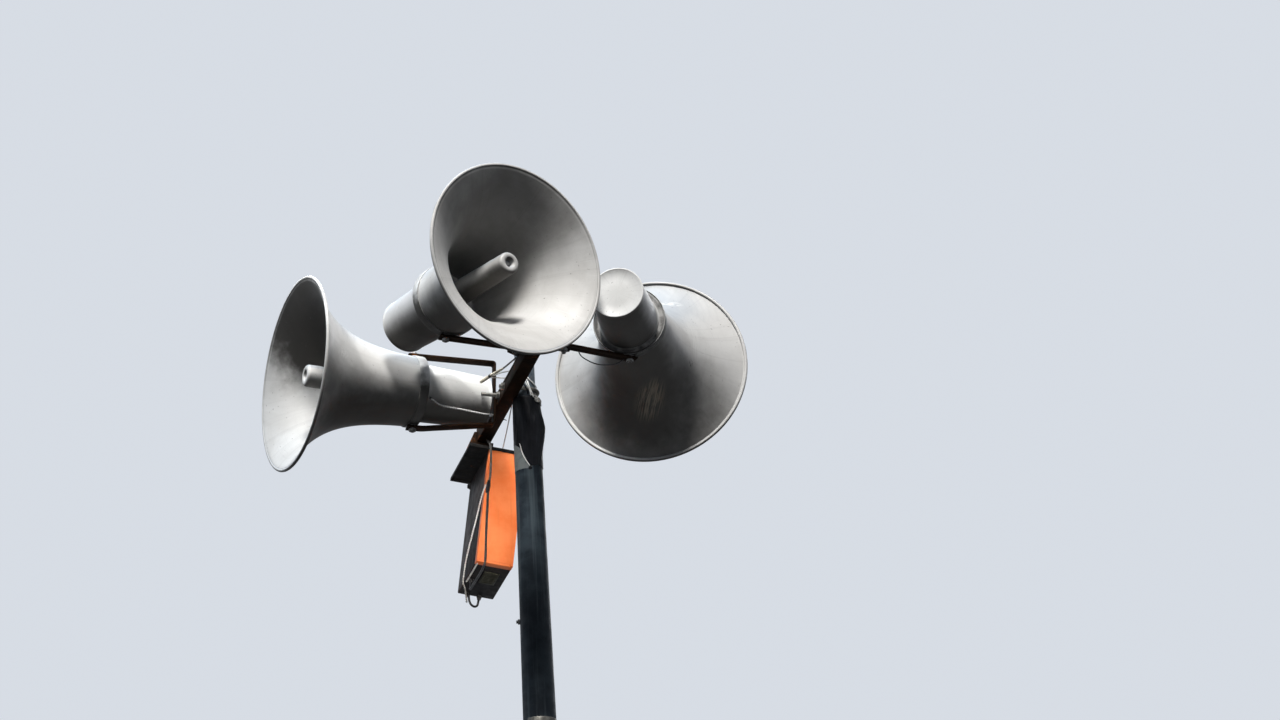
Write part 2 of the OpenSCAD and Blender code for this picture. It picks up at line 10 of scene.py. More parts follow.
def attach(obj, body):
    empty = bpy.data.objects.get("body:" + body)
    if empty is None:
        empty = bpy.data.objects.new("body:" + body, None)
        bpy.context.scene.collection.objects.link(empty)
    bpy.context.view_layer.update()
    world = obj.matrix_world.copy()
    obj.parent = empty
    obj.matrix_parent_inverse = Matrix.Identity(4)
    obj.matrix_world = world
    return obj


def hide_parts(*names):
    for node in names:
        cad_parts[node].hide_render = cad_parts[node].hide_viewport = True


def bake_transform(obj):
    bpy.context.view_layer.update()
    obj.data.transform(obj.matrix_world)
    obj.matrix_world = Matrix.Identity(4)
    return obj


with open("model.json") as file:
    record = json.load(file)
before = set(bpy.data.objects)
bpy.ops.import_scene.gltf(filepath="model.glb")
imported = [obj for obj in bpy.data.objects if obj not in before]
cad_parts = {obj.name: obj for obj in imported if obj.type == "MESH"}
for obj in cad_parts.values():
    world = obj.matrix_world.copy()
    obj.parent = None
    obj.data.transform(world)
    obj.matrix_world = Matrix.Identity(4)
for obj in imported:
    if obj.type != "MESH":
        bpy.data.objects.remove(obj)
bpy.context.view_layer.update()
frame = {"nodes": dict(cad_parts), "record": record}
nodes = frame["nodes"]
slotOf = {p["node"]: p["material_slot"] for p in frame["record"]["subparts"]}
scene = bpy.context.scene
fullTurn = 2 * math.pi


def fromAxes(x, y, z, spot=(0, 0, 0)):
    # a place as a matrix: its three axes are the columns, then comes its spot
    m = np.eye(4)
    m[:3, :3], m[:3, 3] = np.stack([x, y, z], -1), spot
    return m


# camera: where it stands, its heading from +X, how far it looks up and its roll in degrees, its lens and sensor
# in mm, and the nearest and farthest distances that it sees
cameraPlace = {"spot": (-3.161, -13.301, 1.624), "heading": 75.4, "climb": 22.6, "roll": 2.95, "lens": 164.0,
               "sensor": 36.0, "near": 0.1, "far": 300.0}


def makeCamera(place):
    heading, climb, roll = (math.radians(place[k]) for k in ("heading", "climb", "roll"))
    ahead = np.array([math.cos(climb) * math.cos(heading), math.cos(climb) * math.sin(heading), math.sin(climb)])
    side = np.array([math.sin(heading), -math.cos(heading), 0.0])
    top = np.cross(side, ahead)
    m = fromAxes(side * math.cos(roll) - top * math.sin(roll), top * math.cos(roll) + side * math.sin(roll),
                 -ahead, place["spot"])
    camera = bpy.data.objects.new("camera", bpy.data.cameras.new("camera"))
    scene.collection.objects.link(camera)
    camera.matrix_world = Matrix(m.tolist())
    camera.data.lens, camera.data.sensor_width = place["lens"], place["sensor"]
    camera.data.clip_start, camera.data.clip_end = place["near"], place["far"]
    scene.camera = camera


makeCamera(cameraPlace)
print("camera is in place")


def meshOf(name, sets, smooth=True):
    # each set is (points, faces, uv), with one row of uv for each point; the sets become one mesh,
    # doubled points are merged and all faces turned outwards
    faces, count = [], 0
    for points, own, uv in sets:
        faces += [[i + count for i in face] for face in (own if isinstance(own, list) else own.tolist())]
        count += len(points)
    allUv = np.vstack([np.zeros((len(points), 2)) if uv is None else uv for points, own, uv in sets])
    mesh = bpy.data.meshes.new(name)
    mesh.from_pydata(np.vstack([s[0] for s in sets]).tolist(), [], faces)
    layer = mesh.uv_layers.new(name="surface")
    corner = np.zeros(len(mesh.loops), np.int32)
    mesh.loops.foreach_get("vertex_index", corner)
    layer.data.foreach_set("uv", allUv.astype(np.float32)[corner].ravel())
    shape = bmesh.new()
    shape.from_mesh(mesh)
    bmesh.ops.remove_doubles(shape, verts=shape.verts, dist=1e-6)
    bmesh.ops.recalc_face_normals(shape, faces=shape.faces)
    shape.to_mesh(mesh)
    shape.free()
    mesh.polygons.foreach_set("use_smooth", [smooth] * len(mesh.polygons))
    mesh.update()
    piece = bpy.data.objects.new(name, mesh)
    scene.collection.objects.link(piece)
    return piece


def gridFaces(rows, cols):
    # quads between neighbouring points of a rows by cols grid
    i, j = np.meshgrid(np.arange(rows - 1), np.arange(cols - 1), indexing="ij")
    at = i * cols + j
    return np.stack([at, at + 1, at + cols + 1, at + cols], -1).reshape(-1, 4)


def placeAt(spot, roll, aim):
    # turn by aim about Z, then by roll about Y, then move to spot
    r, a = math.radians(roll), math.radians(aim)
    tilt = np.array([[math.cos(r), 0, math.sin(r)], [0, 1, 0], [-math.sin(r), 0, math.cos(r)]])
    turn = np.array([[math.cos(a), -math.sin(a), 0], [math.sin(a), math.cos(a), 0], [0, 0, 1]])
    return fromAxes(*(tilt @ turn).T, spot)


def shifted(m, x, y, z):
    return m @ fromAxes(*np.eye(3), (x, y, z))


def alongAxis(m, direction):
    # the same place with +X turned to another of m's own axes, any but Y
    n = np.cross([0, 1.0, 0], direction)
    return m @ fromAxes(direction, np.cross(n, direction), n)


def moved(points, m):
    # points from a place's own axes into the frame's
    return np.asarray(points) @ m[:3, :3].T + m[:3, 3]


def farAlong(line):
    # each point's distance from the first one, measured along the line
    return np.concatenate([[0], np.cumsum(np.linalg.norm(np.diff(line, axis=0), axis=1))])


def gridMap(angle, far):
    # a piece's own map: the share of a turn round it, and the distance along it
    return np.stack(np.broadcast_arrays(angle / fullTurn, far[:, None]), -1).reshape(-1, 2)


def turnedSet(profile, m, sides=160, wobble=0.0, seed=0.0):
    # each profile point (radius, distance along +X) is carried round X, then put in place by m;
    # wobble lets the radius swell by a few slow waves round the piece
    profile = np.asarray(profile, float)
    r, x = profile[:, :1], profile[:, 1:]
    a = np.linspace(0, fullTurn, sides + 1)
    wave = 1 + wobble * (np.sin(3 * a + seed) + 0.6 * np.sin(5 * a + 2.1 * seed))
    grid = np.stack([x + 0 * a, r * wave * np.cos(a), r * wave * np.sin(a)], -1)
    return moved(grid.reshape(-1, 3), m), gridFaces(*grid.shape[:2]), gridMap(a, farAlong(profile))


def smoothLine(points, count):
    # a Catmull-Rom curve through the points, resampled at equal steps
    p = np.asarray(points, float)
    q = np.vstack([2 * p[0] - p[1], p, 2 * p[-1] - p[-2]])
    t = np.linspace(0, 1, 24, endpoint=False)[:, None]
    runs = []
    for a, b, c, d in zip(q, q[1:], q[2:], q[3:]):
        runs.append(0.5 * (2 * b + (c - a) * t + (2 * a - 5 * b + 4 * c - d) * t ** 2
                           + (3 * b - a - 3 * c + d) * t ** 3))
    line = np.vstack(runs + [p[-1:]])
    far = farAlong(line)
    at = np.linspace(0, far[-1], count)
    return np.stack([np.interp(at, far, line[:, k]) for k in range(3)], -1)


def straightLine(first, last, count, y=0.0):
    # a line along X at a distance y from the axis
    return np.stack([np.linspace(first, last, count), np.full(count, y), np.zeros(count)], -1)


def around(degrees, radius, height):
    # a point by its bearing round the mast
    return [radius * math.cos(math.radians(degrees)), radius * math.sin(math.radians(degrees)), height]


def framesAlong(line):
    # the two directions across a line, turned as little as possible from point to point
    t = np.gradient(line, axis=0)
    t /= np.linalg.norm(t, axis=1)[:, None]
    n = np.cross(t[0], [0.1, 0.2, 1.0])
    across = []
    for d in t:
        n = n - d * (n @ d)
        n /= np.linalg.norm(n)
        across.append(n)
    n = np.array(across)
    return n, np.cross(t, n)


def cappedTube(ring, line):
    # rings of points along a line, joined by quads and closed by a fan of triangles at each end
    rows, cols = ring.shape[:2]
    count, k, one = rows * cols, np.arange(cols - 1), np.ones(cols - 1, int)
    caps = [np.stack([one * count, k + 1, k], -1),
            np.stack([one * (count + 1), count - cols + k, count - cols + k + 1], -1)]
    faces = gridFaces(rows, cols).tolist() + np.vstack(caps).tolist()
    return np.vstack([ring.reshape(-1, 3), line[:1], line[-1:]]), faces


def tubeSet(line, radius, sides=10, offset=0.0, turns=0.0, phase=0.0, squeeze=1.0):
    # a round section carried along the line; offset and turns per metre wind it round the line as a strand
    n, b = framesAlong(line)
    far = farAlong(line)
    w = (phase + fullTurn * turns * far)[:, None]
    core = line + offset * (n * np.cos(w) + b * np.sin(w))
    a = np.linspace(0, fullTurn, sides + 1)[None, :, None]
    radius = np.asarray(radius, float).reshape(-1, 1, 1)
    ring = core[:, None] + radius * (n[:, None] * np.cos(a) + squeeze * b[:, None] * np.sin(a))
    return (*cappedTube(ring, core), np.vstack([gridMap(a[..., 0], far), [[0, 0], [0, far[-1]]]]))


# node trees: each of these helpers adds a node and gives its output
def feed(tree, socket, value):
    # a socket takes a link, or a plain value; a colour of three numbers is made opaque
    if isinstance(value, bpy.types.NodeSocket):
        tree.links.new(value, socket)
    else:
        socket.default_value = (*value, 1) if socket.type == "RGBA" and len(value) == 3 else value


def part(tree, kind, sockets=None, **fields):
    node = tree.nodes.new(kind)
    for k, v in fields.items():
        setattr(node, k, v)
    for k, v in (sockets or {}).items():
        feed(tree, node.inputs[k], v)
    return node


def mixed(tree, factor, a, b):
    return part(tree, "ShaderNodeMix", {0: factor, 6: a, 7: b}, data_type="RGBA").outputs[2]


def maths(tree, kind, a, b=0.0, c=0.0):
    return part(tree, "ShaderNodeMath", {0: a, 1: b, 2: c}, operation=kind).outputs[0]


def times(tree, *values):
    # the product of two or more values
    product = values[0]
    for value in values[1:]:
        product = maths(tree, "MULTIPLY", product, value)
    return product


def rest(tree, value):
    # what is left of 1
    return maths(tree, "SUBTRACT", 1.0, value)


def vectors(tree, kind, a, b):
    return part(tree, "ShaderNodeVectorMath", {0: a, 1: b}, operation=kind).outputs


def joined(tree, x, y, z):
    return part(tree, "ShaderNodeCombineXYZ", {0: x, 1: y, 2: z}).outputs[0]


def split(tree, vector):
    return part(tree, "ShaderNodeSeparateXYZ", {0: vector}).outputs


def facing(tree):
    return part(tree, "ShaderNodeNewGeometry").outputs["Normal"]


def ownPlace(tree):
    return part(tree, "ShaderNodeTexCoord").outputs["Object"]


def ownMap(tree):
    return part(tree, "ShaderNodeUVMap", uv_map="surface").outputs[0]


def remap(tree, value, low, high, to=(0.0, 1.0), soft=True):
    # from to[0] at the low value to to[1] at the high one
    return part(tree, "ShaderNodeMapRange", {"Value": value, "From Min": low, "From Max": high, "To Min": to[0],
                                            "To Max": to[1]},
                interpolation_type="SMOOTHSTEP" if soft else "LINEAR").outputs[0]


def noise(tree, vector, scale, detail=4.0, rough=0.55, warp=0.0):
    return part(tree, "ShaderNodeTexNoise", {"Vector": vector, "Scale": scale, "Detail": detail,
                                            "Roughness": rough, "Distortion": warp}).outputs["Fac"]


def patches(tree, vector, scale, detail, rough, low=0.3, high=0.7, to=(0.0, 1.0), warp=0.0, soft=True):
    # noise whose levels from low to high become a mask, or run between two other numbers
    return remap(tree, noise(tree, vector, scale, detail, rough, warp), low, high, to, soft)


# effects that several materials share
def newGroup(name, inputs, outputs):
    # a node group: its number inputs with their first values, and its outputs with their kinds
    group = bpy.data.node_groups.new(name, "ShaderNodeTree")
    for socket, value in inputs.items():
        made = group.interface.new_socket(name=socket, in_out="INPUT", socket_type="NodeSocketFloat")
        made.default_value = value
    for socket, kind in outputs.items():
        group.interface.new_socket(name=socket, in_out="OUTPUT", socket_type="NodeSocket" + kind)
    return group, group.nodes.new("NodeGroupInput").outputs, group.nodes.new("NodeGroupOutput").inputs


def makeEdgeWear():
    # where the rounded normal leaves the flat one, broken up by noise
    g, take, give = newGroup("edgeWear", {"Radius": 0.002, "Amount": 0.6, "Scale": 60.0}, {"Mask": "Float"})
    rounded = part(g, "ShaderNodeBevel", {"Radius": take["Radius"]}, samples=4).outputs[0]
    same = vectors(g, "DOT_PRODUCT", rounded, facing(g))["Value"]
    edge = remap(g, rest(g, same), 0.004, 0.12)
    broken = patches(g, ownPlace(g), take["Scale"], 5, 0.65, 0.36, 0.58)
    g.links.new(times(g, edge, broken, take["Amount"]), give["Mask"])
    return g


def makeRust():
    # noise above a level, from dark brown to orange, with its own height
    g, take, give = newGroup("rust", {"Amount": 0.3, "Scale": 18.0},
                             {"Mask": "Float", "Color": "Color", "Height": "Float"})
    where = ownPlace(g)
    level = maths(g, "SUBTRACT", 0.72, times(g, take["Amount"], 0.42))
    mask = patches(g, where, take["Scale"], 8, 0.66, level, maths(g, "ADD", level, 0.09), warp=0.4)
    fine = noise(g, where, times(g, take["Scale"], 7.0), 6, 0.7)
    tone = part(g, "ShaderNodeValToRGB", {"Fac": fine})
    first, last = tone.color_ramp.elements
    first.position, first.color = 0.36, (0.05, 0.022, 0.013, 1)
    last.position, last.color = 0.66, (0.42, 0.15, 0.045, 1)
    tone.color_ramp.elements.new(0.5).color = (0.17, 0.062, 0.026, 1)
    g.links.new(mask, give["Mask"])
    g.links.new(tone.outputs[0], give["Color"])
    g.links.new(times(g, fine, mask), give["Height"])
    return g


def makeRuns():
    # run marks down a surface: noise that is drawn out along Z
    g, take, give = newGroup("runs", {"Across": 60.0, "Down": 3.0, "Low": 0.5, "High": 0.7}, {"Mask": "Float"})
    size = joined(g, take["Across"], take["Across"], take["Down"])
    drawn = vectors(g, "MULTIPLY", ownPlace(g), size)[0]
    g.links.new(patches(g, drawn, 1.0, 4, 0.6, take["Low"], take["High"]), give["Mask"])
    return g


def makeSpun():
    # fine rings round a turned piece, and spokes and streaks along it, from its own map
    g, take, give = newGroup("spunMarks", {"Rings": 900.0, "Spokes": 46.0},
                             {"Rings": "Float", "Spokes": "Float", "Streaks": "Float"})
    cut = split(g, ownMap(g))
    turn = times(g, cut[0], fullTurn)
    cos, sin = maths(g, "COSINE", turn), maths(g, "SINE", turn)
    ringed = joined(g, cos, sin, times(g, cut[1], take["Rings"]))
    spoked = joined(g, times(g, cos, take["Spokes"]), times(g, sin, take["Spokes"]), times(g, cut[1], 3.0))
    g.links.new(noise(g, ringed, 1.0, 3, 0.6), give["Rings"])
    g.links.new(noise(g, spoked, 0.35, 5, 0.6), give["Spokes"])
    g.links.new(noise(g, spoked, 2.6, 3, 0.5, 0.3), give["Streaks"])
    return g


def makeShadeAndGrime():
    # painted shade with grime: darker on what faces down, with an uneven edge
    g, take, give = newGroup("shadeAndGrimeBelow", {"Low": -0.2, "High": 0.8, "Scale": 9.0}, {"Mask": "Float"})
    patchy = patches(g, ownPlace(g), take["Scale"], 6, 0.6, to=(-0.13, 0.13), soft=False)
    down = maths(g, "ADD", times(g, split(g, facing(g))[2], -1.0), patchy)
    g.links.new(remap(g, down, take["Low"], take["High"]), give["Mask"])
    return g


groups = {"edge": makeEdgeWear(), "rust": makeRust(), "runs": makeRuns(), "spun": makeSpun(), "shadeAndGrime": makeShadeAndGrime()}


def placed(tree, name, **values):
    node = part(tree, "ShaderNodeGroup", node_tree=groups[name])
    for k, v in values.items():
        node.inputs[k].default_value = v
    return node.outputs


def newMaterial(name, metallic, roughness, **constants):
    material = bpy.data.materials.new(name)
    material.use_nodes = True
    tree = material.node_tree
    shader = tree.nodes["Principled BSDF"]
    for k, v in {"Metallic": metallic, "Roughness": roughness, **constants}.items():
        shader.inputs[k.replace("_", " ")].default_value = v
    return material, tree, shader, ownPlace(tree)


def linked(tree, shader, **sockets):
    for k, v in sockets.items():
        tree.links.new(v, shader.inputs[k.replace("_", " ")])


def bumped(tree, shader, height, distance, strength):
    bump = part(tree, "ShaderNodeBump", {"Height": height, "Distance": distance, "Strength": strength})
    tree.links.new(bump.outputs[0], shader.inputs["Normal"])


# spun aluminium: its tones, share and reach of the painted shade with grime on what faces down, outside and
# inside a bell, a blue-grey tint on what faces up (dust and painted sky reflection), roughness, and marks
# (low and high level of the noise, share, tone)
spunLook = {"pale": (0.76, 0.755, 0.74), "dull": (0.6, 0.59, 0.57),
            "shadeAndGrime": (0.05, 0.045, 0.039), "shadeAndGrimeShare": 0.92, "shadeAndGrimeFrom": -0.12, "shadeAndGrimeFull": 0.75,
            "inside": 0.72, "insideFrom": -0.12, "insideFull": 0.75, "dustAndSkyTintShare": 0.6, "dustAndSkyTint": (0.4, 0.45, 0.51),
            # line is the tone of the painted shade lines along the profile
            "speck": (0.16, 0.15, 0.14), "line": (0.03, 0.028, 0.026), "smooth": 0.4, "metal": 0.12, "shine": 0.3,
            "marks": {"Spokes": (0.5, 0.75, 0.2, (0.35, 0.34, 0.33)),
                      "Streaks": (0.68, 0.74, 0.35, (0.84, 0.84, 0.83)),
                      "Rings": (0.58, 0.75, 0.18, (0.25, 0.25, 0.25))}}
# two bells' scuffs: middle and reach in metres, noise scale along x, y and z, share and tone
rightScuffs = (((0.39, 0.0, 7.505), (0.04, 0.03, 0.014), (70, 120, 260), 0.8, (0.95, 0.95, 0.93)),
               ((0.315, -0.04, 7.22), (0.045, 0.11, 0.06), (300, 16, 16), 0.75, (0.45, 0.39, 0.31)),
               ((0.428, -0.065, 7.38), (0.022, 0.06, 0.08), (300, 16, 16), 0.7, (0.78, 0.78, 0.76)),
               ((0.415, -0.085, 7.3075), (0.007, 0.02, 0.012), (200, 60, 60), 1.0, (0.015, 0.015, 0.015)))
leftScuffs = (((-0.491, -0.092, 7.281), (0.03, 0.05, 0.02), (260, 30, 120), 0.6, (0.88, 0.88, 0.87)),
              ((-0.33, 0.0, 7.24), (0.1, 0.05, 0.02), (30, 60, 300), 0.35, (0.4, 0.36, 0.3)))


def spunAluminium(name, look, shadeLines=(), scuffs=()):
    # dark lines of painted shade: one where the neck steps down to the housing and one in each crease beside the
    # rolled rim, each given as distance along the profile, half width and strength; the last one is at the rim, and
    # the side within it has painted shade with grime of its own and no blue-grey tint
    material, tree, shader, where = newMaterial(name, look["metal"], 0.5, Specular_IOR_Level=look["shine"])
    marks = placed(tree, "spun")
    across = split(tree, ownMap(tree))[1]
    cloud = patches(tree, where, 5.0, 7, 0.62, 0.34, 0.7, warp=0.8)
    base = mixed(tree, cloud, look["pale"], look["dull"])
    for mark, (low, high, share, tone) in look["marks"].items():
        base = mixed(tree, remap(tree, marks[mark], low, high, (0.0, share)), base, tone)
    # painted shade with grime: what faces down is darkened toward a near-black tone
    dirt = placed(tree, "shadeAndGrime", Low=look["shadeAndGrimeFrom"], High=look["shadeAndGrimeFull"])["Mask"]
    dark = times(tree, dirt, look["shadeAndGrimeShare"])
    # dust and painted sky reflection: what faces up is tinted blue-grey
    up = split(tree, facing(tree))[2]
    dustAndSkyTint = remap(tree, maths(tree, "MULTIPLY_ADD", cloud, 0.2, up), 0.3, 0.85, (0.0, look["dustAndSkyTintShare"]))
    # inside the rim a second painted shade with grime darkens what faces down, and the blue-grey tint is left off
    if shadeLines:
        within = remap(tree, across, shadeLines[-1][0], shadeLines[-1][0] + 0.004)
        inner = placed(tree, "shadeAndGrime", Low=look["insideFrom"], High=look["insideFull"])["Mask"]
        dark = maths(tree, "ADD", times(tree, dark, rest(tree, within)), times(tree, inner, look["inside"], within))
        dustAndSkyTint = times(tree, dustAndSkyTint, rest(tree, within))
    base = mixed(tree, dark, base, look["shadeAndGrime"])
    base = mixed(tree, dustAndSkyTint, base, look["dustAndSkyTint"])
    base = mixed(tree, patches(tree, where, 150.0, 3, 0.5, 0.69, 0.73, (0.0, 0.55)), base, look["speck"])
    for middle, reach, grain, strength, tone in scuffs:
        away = vectors(tree, "SUBTRACT", where, middle)[0]
        away = vectors(tree, "MULTIPLY", away, tuple(1 / d for d in reach))[0]
        away = part(tree, "ShaderNodeVectorMath", {0: away}, operation="LENGTH").outputs[1]
        torn = patches(tree, vectors(tree, "MULTIPLY", where, grain)[0], 1.0, 4, 0.6, 0.42, 0.58)
        base = mixed(tree, times(tree, remap(tree, away, 1.0, 0.3, (0.0, strength)), torn), base, tone)
    # painted shade: darken the surface along each line
    for far, half, strength in shadeLines:
        near = maths(tree, "ABSOLUTE", maths(tree, "SUBTRACT", across, far))
        uneven = patches(tree, where, 40.0, 4, 0.6, 0.3, 0.6, (0.55, 1.0))
        base = mixed(tree, times(tree, remap(tree, near, half, 0.0, (0.0, strength)), uneven), base, look["line"])
    rough = maths(tree, "MULTIPLY_ADD", cloud, 0.12, times(tree, marks["Rings"], 0.2))
    rough = maths(tree, "ADD", maths(tree, "ADD", rough, look["smooth"]), times(tree, dirt, 0.15))
    linked(tree, shader, Base_Color=base, Roughness=rough)
    bumped(tree, shader, maths(tree, "MULTIPLY_ADD", marks["Rings"], 0.35, noise(tree, where, 24.0, 2, 0.4)),
           0.0006, 0.35)
    return material


# painted steel that has rusted: paint tones, tone of the worn edges, roughness, share and scale of the rust
brownLook = {"paint": (0.009, 0.0052, 0.0028), "light": (0.024, 0.012, 0.0065), "edge": (0.03, 0.018, 0.013),
             "roughness": 0.72, "rust": 0.28, "rustScale": 16.0}


def rustyPaint(name, look):
    # old paint in two tones, rust through it, and edges worn to another tone
    material, tree, shader, where = newMaterial(name, 0.0, look["roughness"], Specular_IOR_Level=0.03)
    base = mixed(tree, patches(tree, where, 22.0, 6, 0.65, 0.35), look["paint"], look["light"])
    rust = placed(tree, "rust", Amount=look["rust"], Scale=look["rustScale"])
    base = mixed(tree, rust["Mask"], base, rust["Color"])
    wear = placed(tree, "edge", Radius=0.0025, Amount=0.8, Scale=45.0)["Mask"]
    linked(tree, shader, Base_Color=mixed(tree, wear, base, look["edge"]),
           Roughness=maths(tree, "MULTIPLY_ADD", rust["Mask"], 0.3, look["roughness"] - 0.1))
    height = maths(tree, "MULTIPLY_ADD", rust["Height"], 0.8, noise(tree, where, 180.0, 3, 0.5))
    bumped(tree, shader, height, 0.0007, 0.5)
    return material


def dullMetal(name, pale, dark, roughness, spotSize, spots=(0.66, 0.72)):
    # a metal coat with dark spots, a little rust and bright edges; spots are the levels of their noise
    material, tree, shader, where = newMaterial(name, 0.85, roughness)
    base = mixed(tree, patches(tree, where, 26.0, 5, 0.6, 0.35, 0.66), pale, dark)
    base = mixed(tree, patches(tree, where, spotSize, 4, 0.55, *spots), base, (0.08, 0.075, 0.07))
    rust = placed(tree, "rust", Amount=0.08, Scale=30.0)
    base = mixed(tree, rust["Mask"], base, rust["Color"])
    worn = placed(tree, "edge", Radius=0.001, Amount=0.5, Scale=80.0)["Mask"]
    linked(tree, shader, Base_Color=mixed(tree, worn, base, (0.75, 0.74, 0.71)),
           Roughness=patches(tree, where, 60.0, 4, 0.6, to=(roughness - 0.1, roughness + 0.15)),
           Metallic=remap(tree, rust["Mask"], 0.0, 1.0, (0.85, 0.1)))
    bumped(tree, shader, noise(tree, where, 320.0, 3, 0.55), 0.0004, 0.4)
    return material


# straps: a zinc coat that is clean above, with painted shade and dirt darkening the sides and below
strapLook = {"pale": (0.66, 0.66, 0.65), "dull": (0.46, 0.46, 0.45), "dirt": (0.035, 0.032, 0.028), "share": 0.93,
             "from": -0.2, "full": 0.3, "worn": (0.6, 0.6, 0.59), "roughness": (0.42, 0.62)}


def strapMetal(name, look):
    # a zinc coat in two tones, painted shade with dirt on what faces down, and edges worn bright
    material, tree, shader, where = newMaterial(name, 0.25, 0.5, Specular_IOR_Level=0.3)
    base = mixed(tree, patches(tree, where, 30.0, 5, 0.6, 0.35, 0.65), look["pale"], look["dull"])
    low = placed(tree, "shadeAndGrime", Low=look["from"], High=look["full"], Scale=30.0)["Mask"]
    base = mixed(tree, times(tree, low, look["share"]), base, look["dirt"])
    worn = placed(tree, "edge", Radius=0.0015)["Mask"]
    linked(tree, shader, Base_Color=mixed(tree, times(tree, worn, 0.5), base, look["worn"]),
           Roughness=patches(tree, where, 60.0, 4, 0.6, to=look["roughness"]))
    bumped(tree, shader, noise(tree, where, 90.0, 4, 0.55), 0.0004, 0.4)
    return material


def plainPaint(name, tone, light, roughness, runs, runTone, rust=0.0, grain=240.0, edge=None):
    # a tone with lighter patches, run marks down it, and some rust; edge is the tone of its worn edges
    material, tree, shader, where = newMaterial(name, 0.0, roughness, Specular_IOR_Level=0.12)
    base = mixed(tree, patches(tree, where, 14.0, 6, 0.62, 0.35), tone, light)
    mark = placed(tree, "runs", Across=70.0, Down=2.2, Low=0.5, High=0.74)["Mask"]
    base = mixed(tree, times(tree, mark, runs), base, runTone)
    height = noise(tree, where, grain, 3, 0.5)
    if rust:
        spots = placed(tree, "rust", Amount=rust, Scale=24.0)
        base = mixed(tree, spots["Mask"], base, spots["Color"])
        height = maths(tree, "MULTIPLY_ADD", spots["Height"], 0.8, height)
    worn = placed(tree, "edge", Radius=0.004 if edge else 0.002, Amount=0.9 if edge else 0.45, Scale=50.0)["Mask"]
    linked(tree, shader, Base_Color=mixed(tree, worn, base, edge or light),
           Roughness=patches(tree, where, 35.0, 5, 0.6, to=(roughness - 0.1, roughness + 0.12)))
    bumped(tree, shader, height, 0.0005, 0.4)
    return material


def cableSkin(name, tone, dirt):
    # a cable's tone with broad stains and fine specks of dirt
    material, tree, shader, where = newMaterial(name, 0.0, 0.5)
    base = mixed(tree, patches(tree, where, 90.0, 5, 0.65, 0.42, 0.68), tone, dirt)
    fine = patches(tree, where, 420.0, 3, 0.5, 0.55, 0.75, (0.0, 0.4))
    linked(tree, shader, Base_Color=mixed(tree, fine, base, dirt),
           Roughness=patches(tree, where, 200.0, 3, 0.5, to=(0.4, 0.65)))
    bumped(tree, shader, noise(tree, where, 600.0, 3, 0.5), 0.0002, 0.4)
    return material


def tornTape(name, tone, dark, grain, share, rough=0.6):
    # a tape's tone broken by dark specks and smears; grain is their noise's scale, share the level it breaks at
    material, tree, shader, where = newMaterial(name, 0.0, rough, Specular_IOR_Level=0.2)
    smear = patches(tree, where, grain * 0.25, 6, 0.7, share - 0.1, share + 0.12, warp=0.5)
    speck = patches(tree, where, grain, 5, 0.7, share - 0.02, share + 0.06)
    base = mixed(tree, times(tree, smear, 0.55), tone, dark)
    linked(tree, shader, Base_Color=mixed(tree, speck, base, dark),
           Roughness=patches(tree, where, grain, 4, 0.6, to=(rough - 0.1, rough + 0.2)))
    bumped(tree, shader, noise(tree, where, grain, 5, 0.65), 0.0008, 0.5)
    return material


# horns: each one's pivot, aim in degrees and seed of its unevenness; below, a horn's own measures
hornPlace = {"left": ((-0.27335, 0.084, 7.26282), 188.8, 0.3),
             "centre": ((-0.25107, -0.242, 7.3745), 291.1, 2.0),
             "right": ((0.2254, -0.219, 7.35203), 66.7, 4.1)}
hornShape = {"mouth": 0.247, "flare": 0.084, "fall": 0.092, "neck": 0.090, "neckRound": 0.006, "wall": 0.002,
             "bead": 0.0045, "beadIn": 0.001, "pivot": 0.320, "neckEnd": 0.333, "rear": 0.191, "tailFront": 0.074,
             "tailRear": 0.0665, "tubeRoot": 0.033, "tubeTip": 0.028, "tubeInset": 0.030, "tubeRound": 0.008,
             "strapThick": 0.0019, "strapHalf": 0.012, "bossTop": 0.0958}
headRoll = 2.7


def bellProfile(h):
    # radius falls off exponentially behind the mouth to the neck; the bead is an arc round the rim
    x = h["neckEnd"] * np.linspace(1, 0, 70)[1:-3] ** 1.5
    x = x[x < h["neckEnd"] - h["neckRound"]]
    flare = (h["mouth"] - h["flare"]) * np.exp(-x / h["fall"])
    outer = np.maximum(h["neck"], h["flare"] + flare)
    slope = np.where(outer > h["neck"], flare / h["fall"], 0)
    inner = outer - h["wall"] * np.sqrt(1 + slope ** 2)
    bead = np.radians(np.linspace(206, 505, 36))
    rim = np.stack([h["mouth"] - h["beadIn"] + h["bead"] * np.cos(bead), -h["bead"] + h["bead"] * np.sin(bead)], -1)
    turn, r = np.radians(np.linspace(90, 0, 8)), h["neckRound"]

    def rearArc(inset):
        return np.stack([h["neck"] - r + (r - inset) * np.cos(turn),
                         -h["neckEnd"] + r - (r - inset) * np.sin(turn)], -1)
    hub = h["tubeRoot"] + 0.0003
    return np.vstack([[[hub, -h["neckEnd"]]], rearArc(0), np.stack([outer, -x], -1), rim,
                      np.stack([inner, -x], -1)[::-1], rearArc(h["wall"])[::-1],
                      [[hub, -h["neckEnd"] + h["wall"]]], [[hub, -h["neckEnd"]]]])


def beadLines(h):
    # where the rolled edge starts and stops along the bell's profile
    profile = bellProfile(h)
    turn = np.hypot(profile[:, 0] - h["mouth"] + h["beadIn"], profile[:, 1] + h["bead"])
    rim = np.flatnonzero(np.abs(turn - h["bead"]) < 1e-6)
    return farAlong(profile)[rim[[0, -1]]]


